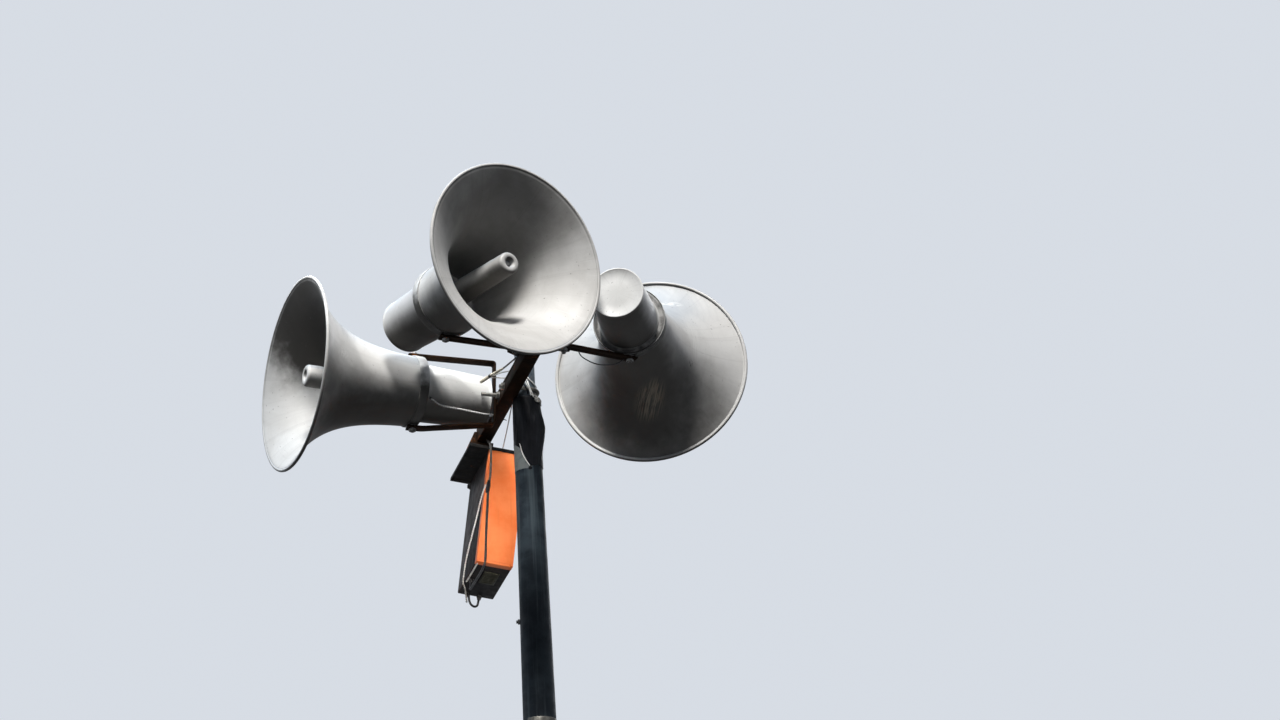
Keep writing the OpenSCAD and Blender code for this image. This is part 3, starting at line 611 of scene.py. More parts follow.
beadStart, beadStop = beadLines(hornShape)
# painted shade lines: at the neck's step to the housing, in the crease outside the rolled rim and in the one inside
# it
bellShadeLines = ((0.05, 0.016, 0.92), (beadStart - 0.0012, 0.0026, 0.95), (beadStop + 0.001, 0.0014, 0.5))
materials = {
    "mast_paint": plainPaint("mastPaint", (0.01, 0.0145, 0.02), (0.034, 0.047, 0.058), 0.55, runs=0.6,
                             runTone=(0.085, 0.108, 0.122), rust=0.1),
    "galvanised": dullMetal("galvanised", (0.17, 0.2, 0.225), (0.1, 0.12, 0.14), 0.55, spotSize=34.0,
                            spots=(0.63, 0.67)),
    "zinc": dullMetal("zincRod", (0.2, 0.19, 0.165), (0.07, 0.066, 0.06), 0.5, spotSize=60.0),
    "brown_paint": rustyPaint("rustyBrown", brownLook),
    "dark_steel": strapMetal("strapMetal", strapLook),
    "spun_aluminium": spunAluminium("spunAluminium", spunLook, bellShadeLines),
    # the housings: the same painted shade with grime below, and less blue-grey dust and painted sky reflection
    # above
    "cast_aluminium": spunAluminium("castAluminium", {**spunLook, "pale": (0.88, 0.88, 0.865), "shadeAndGrimeFrom": 0.0,
                                                     "dull": (0.7, 0.7, 0.685), "dustAndSkyTintShare": 0.2}),
    "black_film": plainPaint("wrapFilm", (0.0045, 0.005, 0.0065), (0.012, 0.013, 0.017), 0.42, runs=0.3,
                             runTone=(0.035, 0.038, 0.046), grain=120.0),
    "dark_sheet": plainPaint("darkSheet", (0.003, 0.003, 0.0034), (0.009, 0.0085, 0.008), 0.7, runs=0.2,
                             runTone=(0.06, 0.045, 0.035), rust=0.2),
    "grey_box": plainPaint("boxShell", (0.011, 0.01, 0.0105), (0.028, 0.023, 0.022), 0.7, runs=0.35,
                           runTone=(0.03, 0.024, 0.02), rust=0.08, edge=(0.3, 0.085, 0.045)),
    "orange_cover": plainPaint("orangeCover", (0.86, 0.19, 0.05), (0.92, 0.25, 0.08), 0.45, runs=0.22,
                               runTone=(0.5, 0.11, 0.035), rust=0.03),
    "cable_black": cableSkin("cableBlack", (0.012, 0.012, 0.013), (0.045, 0.04, 0.036)),
    "cable_grey": cableSkin("cableGrey", (0.06, 0.055, 0.05), (0.13, 0.12, 0.105)),
    "cable_pale": cableSkin("cablePale", (0.85, 0.83, 0.78), (0.55, 0.48, 0.41)),
}
# nodes whose look differs from the rest of their slot
ownLook = {
    # painted shadow: the left bell's upper inside is painted nearly black, the shade rising steeply once it faces
    # down
    "left_bell": spunAluminium("leftAluminium",
                               {**spunLook, "inside": 0.98, "insideFrom": 0.08, "insideFull": 0.42},
                               bellShadeLines, leftScuffs),
    "right_bell": spunAluminium("rightAluminium", spunLook, bellShadeLines, rightScuffs),
    # painted shade: the centre housing gets a darker copy of the aluminium than the other housings
    "centre_housing": spunAluminium("darkerHousing", {**spunLook, "pale": (0.46, 0.465, 0.47),
                                                   "dull": (0.36, 0.365, 0.37)}),
    "box_vent": plainPaint("ventPanel", (0.03, 0.029, 0.019), (0.075, 0.072, 0.05), 0.6, runs=0.2,
                           runTone=(0.012, 0.011, 0.009)),
}
# tapes of the new pieces
film = materials["black_film"]
agedJacket = tornTape("agedJacket", (0.62, 0.57, 0.46), (0.2, 0.17, 0.12), grain=150.0, share=0.58)
paleTape = tornTape("underTape", (0.17, 0.19, 0.19), (0.06, 0.065, 0.065), grain=120.0, share=0.6)
crustyTape = tornTape("crustyTape", (0.5, 0.5, 0.48), (0.03, 0.03, 0.03), grain=260.0, share=0.5, rough=0.75)
whiteTape = tornTape("whiteTape", (0.97, 0.97, 0.95), (0.5, 0.46, 0.4), grain=200.0, share=0.74)
for name, piece in nodes.items():
    piece.data.materials.clear()
    piece.data.materials.append(materials[slotOf[name]])
print("materials are on", len(nodes), "nodes")


def finished(piece, body, slot, *replaced, material=None):
    # a new piece gets its look, its own material or else its slot's, and the body it rides on; the CAD nodes that
    # it stands for are hidden
    piece.data.materials.clear()
    piece.data.materials.append(material or materials[slot])
    if body:
        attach(piece, body)
    if replaced:
        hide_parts(*replaced)
    return piece


def onMast(name, sets, slot, *replaced, material=None, smooth=True):
    return finished(meshOf(name, sets, smooth), "mast", slot, *replaced, material=material)


# leads: each one's CAD node and slot, strands (count, radius), their turns per metre, how it lies, and its route
# in millimetres
leads = {
    "leadLeft": {"node": "lead_left", "slot": "cable_pale", "strands": (2, 0.00115), "twist": 70, "lay": "taut",
                 "route": ((-241, 13.7, 7217.1), (-240.6, 9.8, 7214.6), (-236, 8.5, 7210.5), (-222, 18, 7205),
                           (-203, 28, 7204), (-176, 35, 7203), (-150, 39, 7201), (-103, 50, 7198), (-74, 70, 7205),
                           (-71.5, 84, 7208), (-70, 130, 7225), (-67, 170, 7243), (-64, 196, 7256))},
    "leadPipe": {"node": "lead_pipe", "slot": "cable_pale", "strands": (1, 0.0015), "twist": 0, "lay": "taut",
                 "route": ((-23.8, -52, 7252), (-14, -34, 7279), (-5.2, -26.8, 7276), (6.6, -26.5, 7264),
                           (17.2, -21.2, 7256), (24.5, -12, 7252.5), (27.3, -0.5, 7252), (24.9, 11.1, 7251.5),
                           (17.9, 20.6, 7250.5), (2, 38, 7249), (-19, 60, 7247), (-16, 100, 7235),
                           (-10, 180, 7212), (-5, 258, 7190.8))},
    "leadRight": {"node": "lead_right", "slot": "cable_black", "strands": (1, 0.0015), "twist": 0, "lay": "hanging",
                  "route": ((84, -240, 7256.2), (90, -239, 7246), (105, -236, 7237), (130, -232, 7229),
                            (160, -229, 7229), (190, -225, 7238), (203, -222, 7250.9))},
    "leadStub": {"node": "lead_stub", "slot": "cable_grey", "strands": (1, 0.0022), "twist": 0, "lay": "loose",
                 "route": ((-64, -182, 7257), (-68, -142, 7262), (-75, -83, 7269), (-90, -18, 7277),
                           (-110, 22, 7273))},
    "boxLeadGrey": {"node": "box_lead_grey", "slot": "cable_grey", "strands": (1, 0.003), "twist": 0,
                    "lay": "hanging", "route": ((-40, 280, 7220), (-40, 262, 7208), (-40, 248, 7196),
                                                (-40, 245, 7160), (-44, 246, 7110), (-50, 247, 7078))},
    "boxLeadBlack": {"node": "box_lead_black", "slot": "cable_black", "strands": (1, 0.003), "twist": 0,
                     "lay": "hanging", "route": ((-50.2, 247, 7077.6), (-54, 248, 7030), (-60, 249, 6950),
                                                 (-65, 249, 6880), (-68, 256, 6864), (-70, 300, 6858),
                                                 (-77, 376, 6848), (-76.5, 383, 6855), (-74.1, 384, 6864.6))},
    "boxLeadPale": {"node": "box_lead_pale", "slot": "cable_pale", "strands": (2, 0.00115), "twist": 75,
                    "lay": "hanging", "route": ((-57, 245, 7084), (-66.5, 262, 7052), (-72, 312, 7008),
                                                (-82, 378, 6944), (-92, 382, 6890), (-94, 388, 6868),
                                                (-87, 402, 6857), (-70, 462, 6846), (-67.5, 476, 6851),
                                                (-66.1, 478, 6863.3))},
    "boxLeadUnder": {"node": "box_lead_under", "slot": "cable_pale", "strands": (2, 0.00115), "twist": 75,
                     "lay": "taut", "route": ((-82, 268, 6875.6), (-82, 300, 6875.6), (-82, 350, 6875.6),
                                              (-82, 400, 6875.6))},
    "boxLeadLoop": {"node": "box_lead_loop", "slot": "cable_black", "strands": (1, 0.003), "twist": 0,
                    "lay": "hanging", "route": ((-58, 486, 6873.8), (-57.5, 488, 6860), (-53, 490, 6848),
                                                (-44, 491, 6842), (-36, 490, 6845), (-32.8, 487, 6858.2))},
}
# the stub's outer jacket and tie, as shares of its length from the cut end, and the bare cores' routes
stub = {"jacket": 0.56, "tie": (0.17, 0.22), "tieRadius": 0.0046, "core": 0.0015,
        "sizes": ([0, 0.04, 0.3, 0.75, 1], [0.0038, 0.0043, 0.0042, 0.0034, 0.0025]),
        "cores": (((-88, -24, 7272), (-78, -58, 7266), (-63.5, -94, 7257)),
                  ((-90, -14, 7271), (-78, -30, 7265), (-63.5, -48, 7257)))}
# the tape over the joint of the grey lead with the two below it
joint = {"route": ((-47.2, 246.5, 7096), (-50.2, 247, 7080), (-53.5, 247.6, 7062)), "thin": 0.0034, "thick": 0.0026,
         "turns": 5.5, "squeeze": 0.9}


def inMetres(route):
    return np.array(route) / 1000


def stubEnds(line):
    # the cut cable's bare cores, and the sleeve and the tie on its last part
    cores = [tubeSet(smoothLine(inMetres(core), 24), stub["core"], 8) for core in stub["cores"]]
    back, count = line[::-1], len(line)
    jacket = back[:int(count * stub["jacket"])]
    far = np.linspace(0, 1, len(jacket))
    size = np.interp(far, *stub["sizes"]) * (1 + 0.05 * np.sin(40 * far))
    tie = back[int(count * stub["tie"][0]):int(count * stub["tie"][1])]
    return [onMast("stubCores", cores, "cable_pale"),
            onMast("stubJacket", [tubeSet(jacket, size, 18)], "cable_pale", material=agedJacket),
            onMast("stubTie", [tubeSet(tie, stub["tieRadius"], 18)], "cable_black")]


def tapedJoint():
    # turns of tape, a little wider at each turn and widest in the middle
    far = np.linspace(0, 1, 120)
    turns = 0.8 + 0.2 * np.sin(fullTurn * joint["turns"] * far)
    size = joint["thin"] + joint["thick"] * np.sin(math.pi * far) ** 0.6 * turns
    tape = tubeSet(smoothLine(inMetres(joint["route"]), len(far)), size, 22, squeeze=joint["squeeze"])
    return [onMast("tapeJoint", [tape], "cable_black", material=film)]


def makeLead(name, lead):
    # a tube along a smooth line; strands of one lead wind round that line
    route = inMetres(lead["route"])
    count, radius = lead["strands"]
    step, apart = (0.0009, radius) if count > 1 else (0.003, 0.0)
    line = smoothLine(route, max(24, int(farAlong(smoothLine(route, 400))[-1] / step)))
    piece = meshOf(name, [tubeSet(line, radius, 10, apart, lead["twist"], math.pi * k) for k in range(count)])
    moves = name == "leadLeft"
    finished(piece, None if moves else "mast", lead["slot"], lead["node"],
             material=whiteTape if name in ("leadPipe", "leadLeft") else None)
    if moves:
        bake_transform(piece)
    ends = stubEnds(line) if name == "leadStub" else tapedJoint() if name == "boxLeadGrey" else []


for name, lead in leads.items():
    makeLead(name, lead)
print("leads are made")


def tubeProfile(h):
    # a slim cone with a faint groove, a rounded tip, a dished end and a small stud in the dish
    r, x, b = h["tubeTip"], -h["tubeInset"], h["tubeRound"]
    tip, shaft = np.radians(np.linspace(0, 90, 9)), np.linspace(0, 1, 24)
    side = np.stack([h["tubeRoot"] + (r - h["tubeRoot"]) * shaft,
                     -h["neckEnd"] + (x - b + h["neckEnd"]) * shaft], -1)
    side[:, 0] -= 0.0006 * np.exp(-((side[:, 1] + 0.075) / 0.003) ** 2)
    end = np.stack([r - b + b * np.cos(tip), x - b + b * np.sin(tip)], -1)
    dish = np.array([[r - 0.013, 0], [r - 0.015, -0.0015], [0.0085, -0.0135], [0.0075, -0.0135],
                     [0.0068, -0.0115], [0.002, -0.0108], [0, -0.0108]]) + (0, x)
    return np.vstack([[[0, -h["neckEnd"]]], side, end[1:], dish])


def housingProfile(h):
    # rim against the neck, a slow taper, a bead round the rear and a shallow dished cap
    start, back, front, rear = -h["neckEnd"], -h["pivot"] - h["rear"], h["tailFront"], h["tailRear"]
    t = np.linspace(0, 1, 20)
    side = np.stack([front + (rear - front) * t, start - 0.006 + (back + 0.004 - (start - 0.006)) * t], -1)
    rim = np.array([[0.0014, 0], [0.002, -0.0008], [0.002, -0.0034], [0.0014, -0.0042]]) + (front, start)
    bead = np.array([[0.0009, 0.0032], [0.0012, 0.0022], [0.0008, 0.0009], [-0.0006, 0], [-0.003, 0.0004],
                     [-0.0045, 0.0014]]) + (rear, back)
    return np.vstack([[[0, start]], rim, side, bead, [[rear * 0.5, back + 0.001], [0, back + 0.0006]]])


def strapSets(h, m, seed):
    # a band round the neck, with a slight ripple, and a boss on top and below
    inner, thick, wide = h["neck"] + 0.0004, h["strapThick"], h["strapHalf"]
    section = np.array([[inner, -wide], [inner, wide], [inner + thick * 0.7, wide], [inner + thick, wide - 0.0008],
                        [inner + thick, -wide + 0.0008], [inner + thick * 0.7, -wide], [inner, -wide]])
    a, (r, x) = np.linspace(0, fullTurn, 161), section.T[..., None]
    ripple = 1 + 0.0012 * np.sin(7 * a + seed)
    band = np.stack([x + 0 * a, r * ripple * np.sin(a), -r * ripple * np.cos(a)], -1)
    sets = [(moved(band.reshape(-1, 3), m), gridFaces(*band.shape[:2]), gridMap(a, x[:, 0]))]
    boss = [[0, 0.092], [0.011, 0.092], [0.011, 0.0952], [0.0102, h["bossTop"]], [0, h["bossTop"]]]
    for s in (1, -1):
        sets.append(turnedSet(boss, m @ fromAxes((0, 0, s), (0, 1, 0), (-s, 0, 0)), 40))
    return sets


def hexSet(m, across, height, bore=0.0):
    # a hexagon whose corners are trimmed by a cone at both ends, along +X from the origin of m
    a, corner, trim = np.linspace(0, fullTurn, 73), 1.155, 0.12 * across
    flat = across / 2 / np.cos((a % (math.pi / 3)) - math.pi / 6)
    cone = across / 2 * corner - np.array([0.6, 0.28, 0.0, 0.0, 0.28, 0.6])[:, None] * trim
    hub = np.full((1, len(a)), max(bore, 1e-5))
    r = np.vstack([hub, np.minimum(flat, cone), hub])
    low = np.array([0, 0, 0.3 * trim, 0.6 * trim])
    x = np.concatenate([low, height - low[::-1]])[:, None]
    grid = np.stack([x + 0 * a, r * np.cos(a), r * np.sin(a)], -1)
    faces = gridFaces(*r.shape)
    if bore > 0:
        last, n = r.size - len(a), np.arange(len(a) - 1)      # the bore's wall joins the two ends
        faces = np.vstack([faces, np.stack([last + n, last + n + 1, n + 1, n], -1)])
    return moved(grid.reshape(-1, 3), m), faces, None


def washerSet(m, bore, radius, thick, trim):
    # a flat ring along +X from the origin of m; trim is how far its outer corners are cut, across and along
    across, along = trim
    ring = [[bore, 0], [radius - across, 0], [radius, along], [radius, thick - along], [radius - across, thick],
            [bore, thick], [bore, 0]]
    return turnedSet(ring, m, 40)


# threads of rods: how deep they are cut, over what length they fade in, and the rounding of a rod's ends
thread = {"depth": 0.11, "fade": 0.002, "endLong": 0.0012, "endShare": 0.15, "sides": 24}


def rodSet(line, radius, pitch, threads):
    # a round rod along a line; between each pair of threads' lengths its radius winds in and out once a pitch
    n, b = framesAlong(line)
    far = farAlong(line)
    a = np.linspace(0, fullTurn, thread["sides"] + 1)
    on = np.zeros(len(line))
    for start, stop in threads:
        on += np.clip((far - start) / thread["fade"], 0, 1) * np.clip((stop - far) / thread["fade"], 0, 1)
    wind = 0.5 - 0.5 * np.cos(fullTurn * (far[:, None] / pitch) + a[None])
    near = np.sqrt(np.clip(np.minimum(far, far[-1] - far) / thread["endLong"], 0, 1))
    end = np.minimum(1, near * thread["endShare"] + 1 - thread["endShare"])
    r = radius * end[:, None] * (1 - thread["depth"] * on[:, None] * wind)
    a = a[None, :, None]
    ring = line[:, None] + r[..., None] * (n[:, None] * np.cos(a) + b[:, None] * np.sin(a))
    return (*cappedTube(ring, line), None)


# pivot bolts: height of the head's seat over the axis, head across its flats and its height, the shank's radius
# and its end with a trimmed corner
pivotBolt = {"seat": 0.1009, "across": 0.017, "head": 0.007, "shank": 0.00495, "top": 0.1103, "tip": 0.0042,
             "trim": 0.0008}


def pivotSets(m, p):
    # a bolt above and one below a horn: a six-sided head on a turned shank
    foot, top = hornShape["bossTop"], p["top"]
    shank = [[0, foot], [p["shank"], foot], [p["shank"], top - p["trim"]], [p["tip"], top], [0, top]]
    sets = []
    for s in (1, -1):
        up = alongAxis(m, (0, 0, s))
        sets += [hexSet(shifted(up, p["seat"], 0, 0), p["across"], p["head"]), turnedSet(shank, up, 32)]
    return sets


def makeHorn(side, spot, aim, seed):
    # each shape is a profile turned about the horn's own axis, but for the strap and the bolts
    own = placeAt(spot, headRoll, aim)
    mouth = shifted(own, hornShape["pivot"], 0, 0)
    sets = {"bell": [turnedSet(bellProfile(hornShape), mouth, 224, 0.0012, seed)],
            "tube": [turnedSet(tubeProfile(hornShape), mouth, 96)],
            "housing": [turnedSet(housingProfile(hornShape), mouth, 160, 0.0006, seed)],
            "strap": strapSets(hornShape, own, seed), "pivots": pivotSets(own, pivotBolt)}
    for kind, shapes in sets.items():
        node = side + "_" + kind
        finished(meshOf(side + kind.title(), shapes, kind != "pivots"), side + "_horn", slotOf[node], node,
                 material=ownLook.get(node))


for side, (spot, aim, seed) in hornPlace.items():
    makeHorn(side, spot, aim, seed)
print("horns are made")

# left yoke: its lower arm starts level at the strap and climbs to the crossbar
lowArm = {"from": 0.022, "to": 0.205, "lift": 0.027, "bend": 0.03, "cuts": (0.022, 0.034, 0.05), "below": -0.05}


def raisedArm(shape, mesh):
    # z grows by lift * s below the middle, s going from 0 to 1 along the arm with a short bend at its start
    m = placeAt(hornPlace["left"][0], headRoll, 0)
    for far in lowArm["cuts"]:
        bmesh.ops.bisect_plane(shape, geom=shape.verts[:] + shape.edges[:] + shape.faces[:], dist=1e-6,
                               plane_co=moved([far, 0, 0], m).tolist(), plane_no=m[:3, 0].tolist())
    shape.to_mesh(mesh)
    points = np.zeros(len(mesh.vertices) * 3)
    mesh.vertices.foreach_get("co", points)
    own = (points.reshape(-1, 3) - m[:3, 3]) @ m[:3, :3]
    past = own[:, 0] - lowArm["from"]
    climb = np.clip(past / (lowArm["to"] - lowArm["from"]), 0, 1)
    ease = np.clip(past / lowArm["bend"], 0, 1)
    low = own[:, 2] < lowArm["below"]
    own[low, 2] += (lowArm["lift"] * climb * (0.6 + 0.4 * ease))[low]
    mesh.vertices.foreach_set("co", moved(own, m).ravel())
    shape.clear()
    shape.from_mesh(mesh)


# how wide the rounding of each piece's edges is, and in degrees which edges are rounded and which stay sharp
roundings = {"left_yoke": 0.0012, "centre_yoke_bar": 0.0012, "right_yoke_bar": 0.0012, "yoke_plate": 0.0012,
             "crossbar": 0.002, "box_hanger": 0.001, "box_hood": 0.0007, "box_body": 0.003, "box_cover": 0.0012,
             "box_vent": 0.0004, "base_plate": 0.002, "base_ribs": 0.0012, "shaft_clip": 0.0006,
             "closing_ring": 0.0012, "pipe_cap": 0.0012}
edgeAngles = {"flat": 0.4, "rounded": 35, "sharp": 32}


def softened(name, width):
    # a copy of a CAD node with its sharp edges rounded
    flat, rounded, sharp = (math.radians(edgeAngles[k]) for k in ("flat", "rounded", "sharp"))
    mesh = nodes[name].data.copy()
    shape = bmesh.new()
    shape.from_mesh(mesh)
    bmesh.ops.remove_doubles(shape, verts=shape.verts, dist=1e-5)
    bmesh.ops.dissolve_limit(shape, angle_limit=flat, verts=shape.verts, edges=shape.edges)
    if name == "left_yoke":
        raisedArm(shape, mesh)
    edges = [e for e in shape.edges if len(e.link_faces) == 2 and e.calc_face_angle(0) > rounded]
    bmesh.ops.bevel(shape, geom=edges, offset=width, segments=2, affect="EDGES", profile=0.5, clamp_overlap=True)
    bmesh.ops.triangulate(shape, faces=[f for f in shape.faces if len(f.verts) > 4])
    shape.to_mesh(mesh)
    shape.free()
    mesh.polygons.foreach_set("use_smooth", [True] * len(mesh.polygons))
    mesh.set_sharp_from_angle(angle=sharp)
    piece = bpy.data.objects.new("soft_" + name, mesh)
    scene.collection.objects.link(piece)
    finished(piece, "mast", slotOf[name], name, material=ownLook.get(name))


for name, width in roundings.items():
    softened(name, width)
print("edges are softened")

# clamp: rod round the pipe and its legs through the crossbar, as the CAD has them
clamp = {"rod": 0.005, "legY": 0.0303, "reach": 0.04413, "farLeg": 0.064, "nearLeg": 0.031, "pitch": 0.0015,
         "farThread": 0.042, "nearThread": 0.015, "head": (-0.04413, 0.0, 7.241), "barHalf": 0.018,
         "washer": (0.0053, 0.0101, 0.0016, (0.0003, 0.0004)), "nut": (0.017, 0.0064, 0.0052)}


def makeClamp(c):
    # the rod's line is a leg, a half circle round the pipe and a leg back; nuts and washers at both ends
    m = placeAt(c["head"], headRoll, 0)
    bend = np.linspace(math.pi / 2, -math.pi / 2, 60)[1:-1]
    turn = np.stack([c["reach"] + c["legY"] * np.cos(bend), c["legY"] * np.sin(bend), 0 * bend], -1)
    line = np.vstack([straightLine(-c["farLeg"], c["reach"], 300, c["legY"]), turn,
                      straightLine(c["reach"], -c["nearLeg"], 220, -c["legY"])])
    long = farAlong(line)[-1]
    rod = rodSet(moved(line, m), c["rod"], c["pitch"],
                 ((0.0005, c["farThread"]), (long - c["nearThread"], long - 0.0005)))
    onMast("clampRod", [rod], "zinc", "u_bolt")
    nuts = []
    for y in (-c["legY"], c["legY"]):
        back = alongAxis(shifted(m, -c["barHalf"], y, 0), (-1, 0, 0))
        nuts += [washerSet(back, *c["washer"]), hexSet(shifted(back, c["washer"][2], 0, 0), *c["nut"])]
    onMast("clampNuts", nuts, "zinc", "u_bolt_nuts", smooth=False)


makeClamp(clamp)

# bolts through the lower arms of the standing yokes, and the anchor bolts of the mast's foot
yokeBolts = {"spots": ((-0.03008, -0.22213), (0.08472, -0.26039)), "top": 0.0275, "grip": 0.0095, "out": 0.014,
             "rod": 0.0049, "pitch": 0.0015, "across": 0.017, "head": 0.007, "nut": 0.008}
anchors = {"circle": 0.42, "plate": 0.02, "rod": 0.012, "in": 0.018, "out": 0.055, "pitch": 0.003,
           "threads": ((0.02, 0.072),), "nut": (0.036, 0.019, 0.0122),
           "washer": (0.0125, 0.0245, 0.004, (0.0005, 0.0008))}


def makeYokeBolts(c):
    # a head above each arm, and a nut and the thread's end below it
    head = placeAt(clamp["head"], headRoll, 0)
    sets = []
    for spot in c["spots"]:
        up = alongAxis(shifted(head, *spot, c["top"]), (0, 0, 1))
        rod = moved(straightLine(-c["grip"] - c["out"], 0.004, 120), up)
        sets += [hexSet(up, c["across"], c["head"]),
                 hexSet(shifted(up, -c["grip"] - c["nut"], 0, 0), c["across"], c["nut"]),
                 rodSet(rod, c["rod"], c["pitch"], ((0, c["out"]),))]
    onMast("yokeBolts", sets, slotOf["yoke_bolts"], "yoke_bolts", smooth=False)


def makeAnchors(c):
    # four bolts on a circle, a quarter turn apart, each with a washer and a nut on the plate
    sets = []
    for k in range(4):
        spot = around(45 + 90 * k, c["circle"] / 2, c["plate"])
        up = alongAxis(shifted(np.eye(4), *spot), (0, 0, 1))
        rod = moved(straightLine(-c["in"], c["out"], 200), up)
        sets += [washerSet(up, *c["washer"]), hexSet(shifted(up, c["washer"][2], 0, 0), *c["nut"]),
                 rodSet(rod, c["rod"], c["pitch"], c["threads"])]
    onMast("anchorBolts", sets, "zinc", smooth=False)


makeYokeBolts(yokeBolts)
makeAnchors(anchors)
print("fasteners are made")

# mast under the wrapping: radii at the foot and top, and the step over its top where it falls to the pipe
mast = {"foot": 0.105, "top": 0.033, "high": 7.21, "step": 0.0068, "stepLong": 0.008, "pipe": 0.0262}
# wrapping at the mast's head: its film's thickness and slack, how far it stands out at bulgeAt (degrees round the
# mast, height), its creases, and its cut and top edges as (degrees, height), each torn by (seed, height)
wrap = {"film": 0.0011, "loose": 0.0005, "bulge": 0.0092, "bulgeAt": (335, 7.137), "bulgeHigh": 0.044,
        "crease": 0.0027, "creaseSeed": 4, "cutTorn": (11, 0.002), "topTorn": (12, 0.0025), "topMost": 0.0004,
        "cut": ((0, 7.032), (60, 7.035), (120, 7.058), (150, 7.085), (165, 7.097), (200, 7.09), (226, 7.077),
                (245, 7.05), (262, 7.024), (275, 7.029), (300, 7.031), (345, 7.029), (360, 7.032)),
        "top": ((0, 7.222), (60, 7.219), (110, 7.2185), (250, 7.2185), (285, 7.224), (320, 7.226), (345, 7.223),
                (360, 7.222))}
# the pale tape that shows below the film and the crusty one above it: reach in degrees and in height, points round
# and up, thickness, how far it stands out, its torn edges (seed, height, 1 for the lower one alone or 2 for both)
# and its ridges (height, steps round and up, seed, count)
tapes = {"wrapUnder": {"reach": (146, 270), "high": (7.021, 7.112), "points": (90, 50), "thick": 0.0007,
                       "out": 0.0009, "torn": (21, 0.0007, 1), "ridges": (0.0004, 1, 1, 5, 9), "on": "shaft",
                       "material": paleTape},
         "wrapPatch": {"reach": (296, 356), "high": (7.203, 7.2295), "points": (70, 44), "thick": 0.001,
                       "out": 0.0012, "torn": (31, 0.003, 2), "ridges": (0.0034, 3, 2.2, 6, 7), "on": "film",
                       "material": crustyTape}}


def ridges(a, z, seed, count):
    # narrow ridges: a sum of (1 - |sin(m a / 2 + n z + p)|) cubed, with drawn m, n and p
    draw = np.random.default_rng(seed)
    out = 0
    for k in range(count):
        m, n, p = draw.integers(3, 13), draw.uniform(-70, 70), draw.uniform(0, 6.3)
        out = out + (1 - np.abs(np.sin(m * a / 2 + n * z + p))) ** 3 * draw.uniform(0.5, 1)
    return out / count * 2


def ragged(a, seed, tall):
    # a torn edge: a few waves of random step round the mast
    draw = np.random.default_rng(seed)
    return tall * sum(np.sin(k * a + draw.uniform(0, 6.3)) / (1 + 0.12 * k) for k in (3, 7, 13, 22, 31)) / 2.2


def shaftRadius(z):
    # the shaft's taper, then a quick fall to the pipe's own radius above its end
    taper = mast["foot"] + (mast["top"] - mast["foot"]) * np.minimum(z, mast["high"]) / mast["high"]
    over = np.clip((z - mast["high"] - mast["step"]) / mast["stepLong"], 0, 1)
    return taper - over * over * (3 - 2 * over) * (mast["top"] - mast["pipe"])


def filmRadius(a, z, w):
    # the shaft's radius, the slack, the bulge on one side and the ridges, stronger where the film stands off
    side, high = math.radians(w["bulgeAt"][0]), w["bulgeAt"][1]
    swell = np.exp(-((z - high) / w["bulgeHigh"]) ** 2) * np.maximum(np.cos((a - side) / 2), 0) ** 3
    body = shaftRadius(z) + w["film"] + w["loose"] + w["bulge"] * swell
    return body + w["crease"] * ridges(a, z, w["creaseSeed"], 9) * (0.35 + swell)


def wallSet(a, z, r, thick):
    # a wall round the mast from its outer radius inwards: two grids joined along their borders; a wall that
    # goes all the way round has no side borders
    outer, inner = (np.stack([k * np.cos(a), k * np.sin(a), z], -1).reshape(-1, 3) for k in (r, r - thick))
    rows, cols = z.shape
    faces = gridFaces(rows, cols)
    borders = [np.arange(cols), (rows - 1) * cols + np.arange(cols)]
    if np.ptp(a) < fullTurn:
        borders += [np.arange(rows) * cols, np.arange(rows) * cols + cols - 1]
    strips = [np.stack([b[:-1], b[1:], b[1:] + rows * cols, b[:-1] + rows * cols], -1) for b in borders]
    uv = np.tile(np.stack([a / fullTurn, z], -1).reshape(-1, 2), (2, 1))
    return np.vstack([outer, inner]), np.vstack([faces, faces[:, ::-1] + rows * cols] + strips), uv


def knotSet(radius, half, lumps, m, wobble, seed):
    # a lumpy ball: its radius swells along it by lumps (share, waves), and round it by wobble
    t = np.radians(np.linspace(0, 180, 17))
    ball = np.stack([radius * np.sin(t) * (1 + lumps[0] * np.sin(lumps[1] * t)), -half * np.cos(t)], -1)
    return turnedSet(ball, m, 24, wobble, seed)


# the strip along the film's cut edge: its route as (degrees, distance from the shaft, height), and half its width
# from end to end
strip = {"route": ((224, 0.0038, 7.089), (228, 0.0044, 7.08), (233, 0.005, 7.066), (240, 0.0055, 7.052),
                   (250, 0.0056, 7.038), (261, 0.005, 7.0255)),
         "widths": ([0, 0.15, 0.5, 0.9, 1], [0.0012, 0.0024, 0.0029, 0.002, 0.0012]), "squeeze": 0.42}


def makeFilm(w):
    # height runs in equal steps from the cut edge to the top one, and the radius is filmRadius there
    a, t = np.meshgrid(np.linspace(0, fullTurn, 193), np.linspace(0, 1, 90))
    low = np.interp(np.degrees(a), *np.array(w["cut"]).T) + ragged(a, *w["cutTorn"])
    high = np.interp(np.degrees(a), *np.array(w["top"]).T) + np.minimum(ragged(a, *w["topTorn"]), w["topMost"])
    z = low + (high - low) * t
    onMast("wrapFilm", [wallSet(a, z, filmRadius(a, z, w), w["film"])], "black_film", "mast_wrap")


def makeTape(name, c):
    # a band round part of the mast, its edges torn and its face ridged
    a, t = np.meshgrid(np.radians(np.linspace(*c["reach"], c["points"][0])), np.linspace(0, 1, c["points"][1]))
    (foot, head), (seed, tall, edges), (deep, across, up, drawn, count) = c["high"], c["torn"], c["ridges"]
    z = foot + (head - foot) * t + ragged(a, seed, tall) * (1 - edges * t)
    under = filmRadius(a, z, wrap) if c["on"] == "film" else shaftRadius(z)
    r = under + c["out"] + deep * ridges(across * a, up * z, drawn, count)
    onMast(name, [wallSet(a, z, r, c["thick"])], "cable_grey", material=c["material"])


